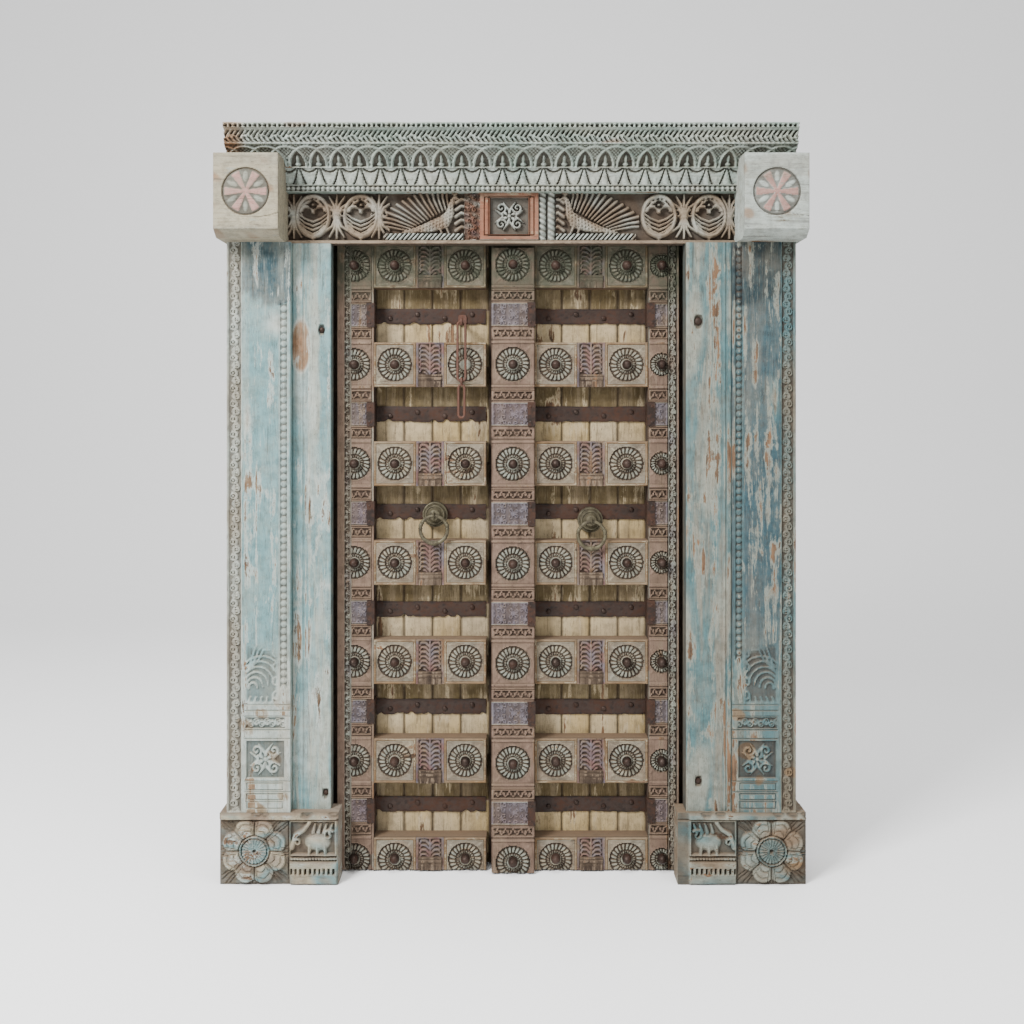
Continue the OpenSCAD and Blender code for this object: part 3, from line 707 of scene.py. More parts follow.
def field(u, v, u0, u1, v0, v1, edge=2 * MM):
    """1 inside a rectangle, falling to 0 at its edges."""
    return ramp(np.minimum(np.minimum(u - u0, u1 - u), np.minimum(v - v0, v1 - v)), 0, edge)


def outline(u, v, u0, u1, v0, v1, half=1.6 * MM):
    """A line along the edges of a rectangle."""
    inner = np.minimum(np.minimum(u - u0, u1 - u), np.minimum(v - v0, v1 - v))
    return dome(np.abs(inner), half)


def plume(a, z):
    """The curled plume above a post's foot, round a point in from its outer edge."""
    height = np.zeros(a.shape)
    for k in range(6):
        radius = (13 + 11.5 * k) * MM
        points = arc(78 * MM + k * 5 * MM, 588 * MM + k * 3 * MM, radius, 188 - 4 * k, -8 + 5 * k, 9, 1.12)
        height = np.maximum(height, stroke(a, z, points, 4.4 * MM, 2.6 * MM))
    for tip, lean in ((742, 8), (722, 30), (700, 52)):
        points = [(64 * MM, 640 * MM), ((70 + lean * 0.5) * MM, 672 * MM),
                  ((78 + lean * 0.6) * MM, 700 * MM), ((92 + lean) * MM, tip * MM)]
        height = np.maximum(height, stroke(a, z, points, 4.5 * MM, 2.2 * MM))
    for cz in (562, 604, 646, 688):
        points = curl(150 * MM, cz * MM, 15 * MM, 100, 330)
        height = np.maximum(height, stroke(a, z, points, 4 * MM, 2.5 * MM))
    for k in range(5):
        points = [((64 + 18 * k) * MM, 542 * MM), ((70 + 17 * k) * MM, 560 * MM)]
        height = np.maximum(height, stroke(a, z, points, 5 * MM, 3 * MM) * 0.8)
    return height


def floral_panel(a, z, ca, cz, size):
    """A square of leafy curls round a flower."""
    u, v = a - ca, z - cz
    height = flower(u, v, size * 0.07, size * 0.20, 6)
    height = np.maximum(height, dome(np.hypot(u, v), size * 0.07))
    for k in range(4):
        turn = 90 * k + 45
        cx, cy = math.cos(math.radians(turn)), math.sin(math.radians(turn))
        points = curl(size * 0.33 * cx, size * 0.33 * cy, size * 0.15, turn + 150, 430)
        height = np.maximum(height, stroke(u, v, points, size * 0.036, size * 0.028))
        for bend in (-24, 24):
            a0 = math.radians(turn + 45 + bend * 0.4)
            a1 = math.radians(turn + 45 + bend)
            leaf = [(size * 0.20 * math.cos(a0), size * 0.20 * math.sin(a0)),
                    (size * 0.44 * math.cos(a1), size * 0.44 * math.sin(a1))]
            height = np.maximum(height, stroke(u, v, leaf, size * 0.045, size * 0.015) * 0.9)
    return height


def post_shape(a, z, bead_low, bead_high):
    """Front of a post; a runs in from its outer edge."""
    settings = carving()
    height = sunk(field(a, z, 5 * MM, 43 * MM, 0.217, 3.0), vine(z, a - 24 * MM, settings.vine_pitch,
                                                                 17 * MM), 0.2)
    bead = np.maximum(beads(z, a - 170 * MM, settings.post_bead, 9.6 * MM),
                      0.75 * dome(a - 157.5 * MM, 3.5 * MM))
    height = np.minimum(height, sunk(field(a, z, 154 * MM, 182 * MM, bead_low, bead_high, 3 * MM), bead))
    height = np.minimum(height, sunk(field(a, z, 52 * MM, 154 * MM, 0.538, 0.762, 12 * MM) *
                                     ramp(z - 0.66 - 0.3 * (0.1 - a), 0.06, 0.03), plume(a, z), 0.35))
    height = np.minimum(height, sunk(field(a, z, 58 * MM, 172 * MM, 0.316, 0.430),
                                     floral_panel(a, z, 0.115, 0.373, 0.112), 0.2))
    height = np.minimum(height, sunk(field(a, z, 56 * MM, 174 * MM, 0.465, 0.500),
                                     vine(a, z - 0.4825, 0.032, 15 * MM), 0.25))
    for level in (275, 308, 436, 462, 503, 520, 536):
        height = np.minimum(height, 1 - 0.45 * dome(z - level * MM, 1.8 * MM) * ramp(a, 0.050, 0.054))
    for z0, z1 in ((226, 246), (252, 270), (282, 302)):
        height = np.minimum(height, 1 - 0.5 * outline(a, z, 0.060, 0.168, z0 * MM, z1 * MM))
    return height + 0.05 * waver(a, z, 0.16, 5)


def post_tint(a, z, side, height):
    """Which paint a post carries: 1 the pale one, 2 ochre, -1 the dark one at its top, which is a painted
    shadow under the corner block.
    """
    low = ramp(z, 0.70, 0.60)
    tint = 0.25 * ramp(z, 0.80, 0.60) + 0.55 * low * ramp(height, 0.4, 0.8)
    tint = tint + 0.5 * ramp(np.abs(a - 0.170), 0.018, 0.012)
    tint = np.where(a < 46 * MM, 1.35 + 0.35 * waver(a, z, 0.5, 21 + side), tint)
    orange = ramp(waver(a, z, 0.30, 33 + side), 0.75, 1.0) * ramp(a, 0.045, 0.06)
    low_patch = ramp(waver(a, z, 0.11, 50 + side), 0.45, 0.75) * ramp(z, 0.60, 0.52)
    tint = np.maximum(tint, 1.9 * np.maximum(orange, low_patch))
    # Painted shadow under the corner block: the top of the post takes the dark accent.
    tint = np.where((z > 1.745 + 0.02 * waver(a, z, 0.1, 3)) & (a > 0.046), -1.0, tint)
    return np.clip(tint, -1, 3)


def make_post(node, side, bead_low, bead_high, material):
    low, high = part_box(node)
    cut = Cutting()
    depth = carving().post_depth
    outer = low.x if side < 0 else high.x

    def column(a0, a1, z0, z1, cell):
        x0, x1 = sorted((outer - side * a0, outer - side * a1))

        def shape(x, z):
            return post_shape(np.abs(x - outer), z, bead_low, bead_high)

        def tint(x, z):
            a = np.abs(x - outer)
            return post_tint(a, z, side, post_shape(a, z, bead_low, bead_high))

        flat_relief(cut, (x0, low.y, z0), (x1, high.y, z1), shape, depth, cell, tint, edge=0.9)

    fine = carving().cell
    width = high.x - low.x
    column(0, 0.049, low.z, high.z, fine)
    column(0.049, width, low.z, 0.775, fine)
    column(0.049, 0.150, 0.775, high.z, (12 * MM, 20 * MM))
    column(0.150, width, 0.775, high.z, fine)
    cut.make("carved_" + node, [material], "frame", [node])


def rear_block(cut, side, low, high, rebate):
    """The plain timber behind the rebate, from the pivot shoe out to the piece's outer edge."""
    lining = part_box("left_pivot_shoe")[0].x if side < 0 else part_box("right_pivot_shoe")[1].x
    x0, x1 = sorted((lining, low.x if side < 0 else high.x))
    block(cut, (x0, rebate, low.z), (x1, high.y, high.z), 2 * MM)


def make_jamb(node, side, groove, marks, material, iron):
    """A plain jamb with a scratched moulding; marks are iron-stained holes as x, z and radius."""
    low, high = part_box(node)
    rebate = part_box("carved_lintel")[1].y
    lintel_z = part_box("carved_lintel")[0].z
    cut = Cutting()

    def shape(x, z):
        height = 1 - 0.5 * dome(x - groove, 3 * MM) - 0.35 * dome(x - groove + side * 11 * MM, 2.2 * MM)
        edge = np.minimum(x - low.x, high.x - x)
        height = height - 0.5 * ramp(edge, 3 * MM, 0)
        for mx, mz, radius in marks:
            gap = np.hypot(x - mx, (z - mz) * 0.7)
            height = height - 2.4 * ramp(gap, radius, radius * 0.6)
        return height + 0.14 * waver(x, z, 0.2, 60 + side) + 0.05 * waver(x, z, 0.04, 7)

    def tint(x, z):
        orange = 0.0
        if side < 0:
            orange = ramp(np.hypot((x + 0.640) / 0.030, (z - 1.612) / 0.085), 1.15, 0.8)
        streak = ramp(waver(x, z * 0.2, 0.08, 90 + side), 0.1, 0.7)
        return np.maximum((0.45 if side < 0 else 0.85) * streak, 2.0 * orange)

    flat_relief(cut, low, (high.x, rebate, lintel_z), shape, 5 * MM, (3.3 * MM, 9 * MM), tint)
    rear_block(cut, side, low, high, rebate)
    for mx, mz, radius in marks:
        turned(cut, (mx, low.y + 13 * MM, mz), [(radius * 0.75, 0), (radius * 0.7, 6 * MM),
                                                 (radius * 0.3, 9 * MM)], 14, slot=1)
    cut.make("painted_" + node, [material, iron], "frame", [node])


def base_flower(u, v):
    """Eight broad petals with nested outlines round a fluted disc."""
    r, angle = np.hypot(u, v), np.arctan2(v, u)
    across = np.abs((angle / TAU * 8) % 1 - 0.5) * 2
    tip = 0.100 - 0.016 * across ** 2
    petal = ramp(tip - r, 0, 4 * MM) * ramp(across * r, r - 1.2 * MM, r - 7 * MM)
    nested = 0
    for scale in (0.80, 0.60):
        rim = np.abs(r - tip * scale - 0.006 * (1 - across))
        side = np.abs(across - (scale + 0.05)) * r * 0.4
        nested = np.maximum(nested, dome(np.where(across < scale, rim, side), 2.4 * MM) * (across < 0.95))
    height = 0.30 + 0.60 * petal - 0.28 * nested * (r > 0.047)
    flutes = 0.5 + 0.5 * np.cos(angle * 22)
    disc = 0.70 + 0.30 * flutes * ramp(r, 0.004, 0.012)
    disc = np.where(r > 0.039, 0.95, disc) - 0.5 * dome(r - 0.0385, 2 * MM) - 0.6 * dome(r, 6 * MM)
    height = np.where(r < 0.0445, disc, height)
    return height - 0.5 * dome(r - 0.0465, 2.5 * MM)


def base_inner(b, z):
    """Foliage and a beast's back over a toothed foot; b runs inwards from the flower."""
    height = np.zeros(b.shape)
    trunk = [(0.008, 0.112), (0.020, 0.150), (0.045, 0.165), (0.062, 0.188)]
    height = np.maximum(height, stroke(b, z, trunk, 9 * MM, 6 * MM))
    body = dome(np.hypot((b - 0.085) / 1.5, z - 0.128), 0.027)
    height = np.maximum(height, body * 0.95)
    for k in range(3):
        leg = [(0.062 + 0.022 * k, 0.120), (0.060 + 0.024 * k, 0.095)]
        height = np.maximum(height, stroke(b, z, leg, 6 * MM, 5 * MM))
    for k in range(4):
        leaf = [(0.072 + 0.016 * k, 0.158), (0.078 + 0.017 * k, 0.183)]
        height = np.maximum(height, stroke(b, z, leaf, 7 * MM, 3 * MM) * 0.8)
    height = np.maximum(height, stroke(b, z, curl(0.118, 0.150, 0.017, 40, 380), 4 * MM, 3 * MM))
    height = np.maximum(height, stroke(b, z, curl(0.024, 0.128, 0.014, 200, -380), 4 * MM, 3 * MM))
    relief_zone = sunk(field(b, z, 0.004, 0.138, 0.092, 0.190), height, 0.15)
    teeth = beads(b, z - 0.079, 9 * MM, 5.4 * MM)
    row = sunk(field(b, z, 0.002, 0.142, 0.069, 0.089), teeth, 0.2)
    foot = sunk(field(b, z, 0.002, 0.144, 0.032, 0.051),
                ramp(np.abs(fold(b, 14 * MM)), 5.4 * MM, 3.6 * MM), 0.15)
    return np.minimum.reduce([relief_zone, row, foot]) - 0.18 * ramp(z, 0.030, 0.026)


def make_base(node, side, material):
    low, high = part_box(node)
    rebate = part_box("carved_lintel")[1].y
    outer = low.x if side < 0 else high.x
    cut = Cutting()
    chips = np.random.default_rng(71 + side).uniform(0, 0.354, 5)

    def shape(x, z):
        a = np.abs(x - outer)
        height = np.where(a < 0.208, base_flower(a - 0.104, z - 0.1016), base_inner(a - 0.208, z))
        height = np.where(z > 0.196, 0.95, height)
        height = height - 0.55 * dome(z - 0.1945, 3 * MM) - 0.7 * dome(a - 0.208, 2.4 * MM) * (z < 0.196)
        edge = np.minimum.reduce([a, 0.354 - a, z, 0.215 - z])
        height = height - 0.55 * ramp(edge, 7 * MM, 0)
        for k, chip in enumerate(chips):
            gap = np.hypot((a - chip) / 1.7, z - 0.210)
            height = height - 0.6 * ramp(gap + 2 * MM * waver(x, z, 0.02, k), 12 * MM, 6 * MM)
        return np.clip(height + 0.10 * waver(x, z, 0.07, 8), 0, 1.1) - 0.1

    def tint(x, z):
        a = np.abs(x - outer)
        wave = waver(a, z, 0.11, 44 + side)
        disc = np.hypot(a - 0.104, z - 0.1016) < 0.043
        return np.where(disc, 2.2, np.clip(1.2 + 1.3 * wave, 0, 3))

    flat_relief(cut, low, (high.x, rebate, high.z), shape, 15 * MM, None, tint, edge=0.8)
    rear_block(cut, side, low, high, rebate)
    cut.make("carved_" + node, [material], "frame", [node])


def spokes(r, angle):
    """Six flared spokes and the six small leaves between them."""
    near = r * np.sin(np.abs((angle / TAU * 6 + 0.5) % 1 - 0.5) * TAU / 6)
    between = r * np.sin(np.abs((angle / TAU * 6) % 1 - 0.5) * TAU / 6)
    half = 3 * MM + 0.15 * r
    spoke = ramp(near - half, 1 * MM, -1.5 * MM) * ramp(r, 0.063, 0.059)
    leaf = dome(np.hypot(between / 0.45, r - 0.044), 17 * MM)
    return spoke, leaf


def make_corner_block(node, seed, material):
    """An end block with an incised circle of six spokes, its front bevelled underneath."""
    low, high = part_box(node)
    centre_x, centre_z = (low.x + high.x) / 2, 2.052
    bevel_y, bevel_z = 33 * MM, 22 * MM

    def shape(x, z):
        u, v = x - centre_x, z - centre_z
        r, angle = np.hypot(u, v), np.arctan2(v, u)
        spoke, leaf = spokes(r, angle)
        inside = ramp(r, 0.070, 0.067)
        motif = np.maximum(0.9 * spoke, 0.75 * leaf)
        motif = np.maximum(motif, dome(r, 11 * MM))
        height = 1 - inside * 0.75 * (1 - motif) - 0.9 * dome(r - 0.0675, 2.2 * MM)
        edge = np.minimum.reduce([x - low.x, high.x - x, high.z - z])
        height = height - 0.35 * ramp(edge, 5 * MM, 0)
        crack = dome(z - 1.985 - 0.012 * waver(x, z, 0.2, seed), 1.4 * MM) * ramp(x, low.x, high.x)
        return np.minimum(height - 0.7 * crack + 0.10 * waver(x, z, 0.12, seed + 1), 1)

    def tint(x, z):
        u, v = x - centre_x, z - centre_z
        r, angle = np.hypot(u, v), np.arctan2(v, u)
        spoke, _ = spokes(r, angle)
        stain = ramp(waver(x, z, 0.10, seed + 9), 0.6, 1.0)
        return np.where(r < 0.066, np.where(spoke > 0.3, 2.0, 1.0), -0.8 * stain)

    u = np.linspace(low.x, high.x, 73)
    v = np.concatenate([np.linspace(low.z, low.z + bevel_z, 9),
                        np.linspace(low.z + bevel_z, high.z, 86)[1:]])
    grid_u, grid_v = np.meshgrid(u, v)

    def place(x, z, h):
        setback = bevel_y * np.clip(1 - (z - low.z) / bevel_z, 0, 1)
        return np.stack([x, low.y + setback + (1 - h) * 4 * MM, z], -1)

    cut = Cutting()
    relief(cut, u, v, shape(grid_u, grid_v), place, flat_back(high.y), tint(grid_u, grid_v))
    cut.make("carved_" + node, [material], "frame", [node])


def medallion(u, v):
    """A pierced oval: a ring, an eye with a small leaf above and chevron leaves below."""
    r = np.hypot(u / 0.80, v)
    height = dome(r - 0.0605, 8.5 * MM)
    height = np.maximum(height, 0.85 * dome(r - 0.046, 5 * MM) * (v > 0.012))
    for k in range(5):
        level = -0.004 - 0.0125 * k
        reach = 0.046 * math.sqrt(max(1 - (level / 0.068) ** 2, 0.05))
        for side in (-1, 1):
            points = [(0.0, level - 0.014), (side * reach * 0.55, level - 0.004),
                      (side * reach, level + 0.012)]
            height = np.maximum(height, 0.9 * stroke(u, v, points, 5.4 * MM, 3.6 * MM))
    for side in (-1, 1):
        points = arc(side * 0.020, 0.014, 0.019, 90 - side * 90, 90 + side * 100, 7, 0.8)
        height = np.maximum(height, 0.9 * stroke(u, v, points, 5.2 * MM))
    eye = np.hypot(u, v - 0.034)
    height = np.where(eye < 0.013, 0.75 * dome(eye, 5 * MM), height)
    crown = np.abs(fold(np.arctan2(v - 0.034, u), TAU / 9)) * 0.024
    petals = dome(np.hypot(crown, eye - 0.022), 7 * MM) * (v > 0.024)
    return np.maximum(height, 0.85 * petals)


def lotus(u, v):
    """Upright leaves between two medallions."""
    height = np.zeros(u.shape)
    for k in (-2, -1, 0, 1, 2):
        lean = math.radians(90 - 21 * k)
        for base, reach in ((-0.006, 0.070), (-0.002, -0.066)):
            tip = (0.95 * reach * math.cos(lean), base + reach * math.sin(lean))
            points = [(0.0, base), (0.35 * tip[0], base + 0.6 * (tip[1] - base)), tip]
            height = np.maximum(height, 0.9 * stroke(u, v, points, 7.5 * MM, 3.4 * MM))
    height = np.maximum(height, dome(np.hypot(u, (v + 0.004) * 1.4), 15 * MM))
    for side in (-1, 1):
        height = np.maximum(height, 0.8 * stroke(u, v, curl(side * 0.020, 0.006, 0.012, 90, side * 330),
                                                 4 * MM, 3 * MM))
    return height


def peacock(u, v):
    """A peacock with its fan raised behind it; it looks to +u and stands on v = 0."""
    height = np.zeros(u.shape)
    for k, t in enumerate(np.linspace(0, 1, 15)):
        start = (-0.165 + 0.122 * t, 0.010 + 0.070 * t)
        angle = math.radians(176 - 82 * t)
        reach = 0.105 - 0.048 * t
        end = (start[0] + reach * math.cos(angle), start[1] + 0.006 + reach * math.sin(angle))
        middle = ((start[0] + end[0]) / 2 - 0.005, (start[1] + end[1]) / 2 + 0.005)
        feather = stroke(u, v, [start, middle, end], 3.6 * MM, 5.6 * MM)
        height = np.maximum(height, (0.62 + 0.06 * (k % 2)) * feather)
    body = [(-0.178, 0.002), (-0.135, 0.012), (-0.095, 0.022), (-0.058, 0.036), (-0.040, 0.060),
            (-0.036, 0.086), (-0.030, 0.104)]
    widths = (4, 9, 17, 20, 13, 8, 7)
    mass = np.zeros(u.shape)
    for k in range(6):
        part = stroke(u, v, body[k:k + 2], widths[k] * MM, widths[k + 1] * MM)
        mass = np.maximum(mass, part)
    across, along = u * 0.55 + v * 0.84, u * 0.84 - v * 0.55
    shift = 0.5 * (np.floor(across / 0.0095) % 2)
    scales = dome(np.hypot(fold(across, 0.0095), fold(along + shift * 0.011, 0.011)), 5.6 * MM)
    height = np.maximum(height, np.where(mass > 0.12, 0.40 + 0.40 * mass + 0.28 * scales, 0))
    height = np.maximum(height, dome(np.hypot(u + 0.024, v - 0.109), 9 * MM))
    height = np.maximum(height, stroke(u, v, [(-0.020, 0.108), (-0.006, 0.100)], 4 * MM, 2 * MM))
    for k in range(3):
        crest = [(-0.026, 0.114), (-0.034 + 0.009 * k, 0.128)]
        height = np.maximum(height, stroke(u, v, crest, 2.5 * MM, 3.5 * MM))
    for leg in (-0.070, -0.050):
        height = np.maximum(height, stroke(u, v, [(leg, 0.020), (leg + 0.008, 0.000)], 4.5 * MM, 3.5 * MM))
    for k in range(5):
        lift = 0.010 + 0.021 * k
        spray = [(-0.022, lift), (-0.006, lift + 0.012), (0.014, lift + 0.006)]
        height = np.maximum(height, 0.78 * stroke(u, v, spray, 6.5 * MM, 4 * MM) * (u > -0.036))
    return height


def frieze_shape(x, z):
    """Front of the lintel: medallions, two peacocks and a framed panel between them."""
    v = z - 2.006
    height = np.zeros(x.shape)
    for centre in (-0.605, -0.460, 0.442, 0.594):
        height = np.maximum(height, medallion(x - centre, v))
    for centre in (-0.663, -0.533, -0.405, 0.518, 0.655):
        height = np.maximum(height, 0.92 * lotus(x - centre, v))
    strip = ramp(np.abs(fold(x - 0.9 * (z - 1.94), 0.0135)), 5.5 * MM, 3.5 * MM)
    for inner, flip in ((-0.150, 1), (0.131, -1)):
        u = (x - inner) * flip * 0.97
        bird = peacock(u, z - 1.952)
        zone = (u < 0.022) & (u > -0.245)
        height = np.where(zone, np.maximum(bird, height * (u < -0.215)), height)
        band = (z < 1.953) & (u < 0.0) & (u > -0.235)
        height = np.where(band, 0.85 * strip, height)
    leaf_zone = (x > -0.148) & (x < -0.100)
    leaf = 0.75 * np.maximum(scrollwork(x + 0.124, z - 2.0, 0.034, 3), 0.4)
    height = np.where(leaf_zone, np.maximum(leaf, height * 0.8), height)
    for centre in (0.089, 0.116):
        cord = rope(z, (x - centre), 0.017, 12 * MM)
        height = np.where(np.abs(x - centre) < 13 * MM, cord, height)
    panel = np.minimum.reduce([x + 0.099, 0.077 - x, z - 1.934, 2.076 - z])
    u, w = x + 0.011, z - 2.006
    inner = np.minimum(0.058 - np.abs(u), 0.056 - np.abs(w))
    bloom = floral_panel(u, w, 0, 0, 0.105)
    square = np.where(inner > 0, 0.10 + 0.75 * bloom, 1 - 0.35 * dome(panel - 0.013, 2.4 * MM)
                      - 0.3 * dome(inner + 0.004, 2 * MM))
    height = np.where(panel > 0, square, height)
    height = 0.06 + 0.94 * height
    height = np.where(z < 1.934, 0.97 - 0.25 * dome(z - 1.932, 2.5 * MM), height)
    return np.clip(height + 0.04 * waver(x, z, 0.05, 12), 0, 1.04) - 0.04


def frieze_tint(x, z):
    """0 sand, 1 the pale petal colour, 2 terracotta, 3 lavender."""
    panel = (x > -0.099) & (x < 0.077) & (z > 1.934)
    inner = (np.abs(x + 0.011) < 0.056) & (np.abs(z - 2.006) < 0.054)
    tint = 0.2 + 0.5 * waver(x, z, 0.09, 14)
    tint = np.where((x > 0.077) & (x < 0.130), 1.0, tint)
    strip = (z < 1.953) & (z > 1.934) & (np.abs(x + 0.01) > 0.11) & (np.abs(x + 0.01) < 0.37)
    tint = np.where(strip, 1.0, tint)
    tint = np.where(panel, np.where(inner, 0.9, 2.0), tint)
    tint = np.where((x > -0.148) & (x < -0.100) & (z > 1.934), 2.0 + 0.6 * waver(x, z, 0.04, 2), tint)
    return np.where(z < 1.933, 0.0, np.clip(tint, 0, 3))


def make_lintel(material):
    low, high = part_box("carved_lintel")
    cut = Cutting()
    flat_relief(cut, low, high, frieze_shape, carving().frieze_depth, 2.5 * MM, frieze_tint)
    cut.make("frieze", [material], "frame", ["carved_lintel"])


def cornice_section():
    """The cornice's section as (depth in front of the rebate, height), from foot to top."""
    points = [(0.070, 0.0), (0.070, 0.0185)]
    points += [(0.070 + 0.075 * (1 - math.cos(math.radians(a))), 0.0185 + 0.111 * a / 90)
               for a in range(6, 91, 6)]
    return points + [(0.145, 0.166), (0.1475, 0.1695), (0.155, 0.170), (0.155, 0.185)]


def cornice_shape(x, s):
    """Bead row, swags, interlaced arches, scrolls and a rope, by height s along the section."""
    settings = carving()
    pitch = settings.arch_pitch
    u = fold(x, pitch)
    row = sunk(field(x, s, -9, 9, 0.001, 0.0175, 2 * MM), beads(x, s - 0.009, settings.bead_pitch, 7.6 * MM),
               0.15)
    w = s - 0.0205
    half = 0.009 + 0.020 * np.clip(w / 0.049, 0, 1) ** 0.75
    seam = dome(np.abs(u) - half, 2.6 * MM)
    crescent = dome(np.hypot(u, w - 0.062) - 0.026, 3.2 * MM) * (np.abs(u) < half)
    drop = dome(np.hypot(u * 1.2, (w - 0.014) * 0.8), 6 * MM)
    swag = np.where(np.abs(u) < half, 0.72 + 0.2 * drop, 0.55 + 0.3 * dome(np.abs(u) - pitch / 2, 9 * MM))
    swag = swag - 0.6 * np.maximum(seam, crescent)
    swag = np.where(w > 0.0485, 0.95, swag)
    t = s - 0.0725
    ribs = np.zeros(x.shape)
    for k in (-1, 0, 1):
        gap = np.abs(np.hypot(u - k * pitch, t * 0.84) - 0.0555)
        ribs = np.maximum(ribs, dome(gap, 4.6 * MM))
    far = fold(x + pitch / 2, pitch)
    lune = ramp(np.hypot(np.abs(far) + pitch / 2, t * 0.84), 0.0555, 0.0535)
    spear = np.maximum(dome(np.hypot(far * 1.8, (t - 0.022) * 0.55), 9 * MM),
                       dome(np.hypot(far * 0.8, (t - 0.006) * 1.2), 8 * MM))
    spandrel = 0.42 + 0.3 * np.cos(u / MM * 0.55) * np.cos(t / MM * 0.5)
    scallop = dome(np.hypot(u, t - 0.074) - 0.006, 4 * MM)
    arches = np.maximum.reduce([ribs, np.where(lune > 0.5, 0.9 * spear, spandrel), 0.9 * scallop])
    q = s - 0.172
    leaves = ramp(np.abs(fold(x - 0.7 * np.abs(q), 0.0145)), 5.2 * MM, 2.6 * MM) * ramp(np.abs(q), 2, 5 * MM)
    stem = dome(q - 0.005 * np.sin(TAU * x / 0.044), 3 * MM)
    scroll = sunk(field(x, s, -9, 9, 0.152, 0.192), np.maximum(0.85 * leaves, stem), 0.2)
    cord = np.where(dome(np.hypot(fold(x, 0.0145), s - 0.210), 4.6 * MM) > 0, 0.25, 1.0)
    height = np.where(s < 0.0195, row, np.where(s < 0.0705, 0.05 + swag, 0.10 + 0.90 * arches))
    height = np.where(s > 0.147, scroll, height)
    height = np.where(s > 0.196, cord, height)
    return np.clip(height + 0.05 * waver(x, s, 0.06, 13), 0, 1.05) - 0.05


def cornice_tint(x, s):
    """1 chalk, 2 bare timber, 3 deep blue."""
    tint = 0.35 + 0.45 * waver(x, s, 0.25, 15)
    tint = np.where((s > 0.0195) & (s < 0.070), tint + 0.35, tint)
    tint = np.where(s < 0.0195, 0.9 + 0.3 * waver(x, s, 0.1, 4), tint)
    ends = ramp(np.abs(x + 0.86), 0.11, 0.04) + 0.8 * ramp(waver(x, s, 0.35, 16), 0.8, 1.0) * (s > 0.15)
    return np.clip(np.maximum(tint, 2.0 * ends), 0, 2.6)


def make_cornice(material):
    low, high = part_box("carved_cornice")
    left_seat, right_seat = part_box("carved_lintel")[0].x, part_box("carved_lintel")[1].x
    seat_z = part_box("head_beam")[1].z
    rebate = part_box("carved_lintel")[1].y
    section = np.array(cornice_section())
    run = np.concatenate([[0], np.cumsum(np.hypot(*np.diff(section, axis=0).T))])
    cell = carving().cell * 1.08
    depth = carving().cornice_depth
    cut = Cutting()

    def slab(x0, x1, z_low):
        s_low = float(np.interp(z_low - low.z, section[:, 1], run))
        v = np.linspace(s_low, run[-1], max(int((run[-1] - s_low) / cell), 2))
        u = np.linspace(x0, x1, max(int((x1 - x0) / cell), 2))
        grid_u, grid_v = np.meshgrid(u, v)
        face_depth = np.interp(v, run, section[:, 0])
        face_z = np.interp(v, run, section[:, 1])
        slope_d, slope_z = np.gradient(face_depth), np.gradient(face_z)
        size = np.hypot(slope_d, slope_z)
        nd, nz = slope_z / size, -slope_d / size

        def place(x, s, h):
            cutting = (1 - h) * depth
            d = np.interp(s, v, face_depth) - cutting * np.interp(s, v, nd)
            zz = np.interp(s, v, face_z) - cutting * np.interp(s, v, nz) * 0.6
            zz = np.clip(zz, z_low - low.z, high.z - low.z)
            return np.stack([x, rebate - d, low.z + zz], -1)

        def back(x, s):
            zz = np.interp(s, v, face_z)
            return np.stack([x, np.full_like(x, rebate), low.z + zz], -1)

        relief(cut, u, v, cornice_shape(grid_u, grid_v), place, back, cornice_tint(grid_u, grid_v))

    slab(left_seat, right_seat, low.z)
    slab(low.x, left_seat, seat_z)
    slab(right_seat, high.x, seat_z)
    block(cut, (low.x, rebate, seat_z), (high.x, high.y, high.z), 1.5 * MM)
    cut.make("cornice", [material], "frame", ["carved_cornice"])


# ---------------------------------------------------------------- leaves

def rosette(u, v, outer):
    """Two rings of fluted petals round a flat boss, cut into a round sinking."""
    r = np.hypot(u, v)
    count = carving().petals
    petals = flower(u, v, outer * 0.56, outer * 0.97, count, 0.0, 0.08)
    inner = flower(u, v, outer * 0.37, outer * 0.55, count, 0.5, 0.10)
    height = np.maximum(0.05 + 0.85 * petals, np.where(r < outer * 0.56, 0.05 + 0.65 * inner, 0))
    height = np.where(r < outer * 0.36, 0.85 - 0.5 * dome(r - outer * 0.34, 2 * MM), height)
    return height


def tile_shape(u, v, half_w, half_h, outer):
    """A square tile: stepped frame, leafed corners and a rosette."""
    r = np.hypot(u, v)
    edge = np.minimum(half_w - np.abs(u), half_h - np.abs(v))
    height = 1 - 0.30 * ramp(edge, 9 * MM, 11 * MM) - 0.45 * dome(edge - 0.0085, 1.8 * MM)
    corner = stroke(np.abs(u), np.abs(v), [(outer * 0.74, outer * 0.78), (outer * 0.93, outer * 0.98)],
                    5 * MM, 3 * MM)
    height = np.maximum(height, np.where(edge > 10 * MM, 0.7 + 0.25 * corner, 0))
    ring = 0.95 * dome(r - outer * 1.01, 2.6 * MM)
    height = np.where(r < outer * 0.985, rosette(u, v, outer), np.maximum(height, ring))
    return height - 0.35 * ramp(edge, 2.2 * MM, 0)


def row_z(i):
    """Height of the middle of row i, counted from the floor."""
    return FIRST_ROW_Z + (i - 1) * ROW_PITCH


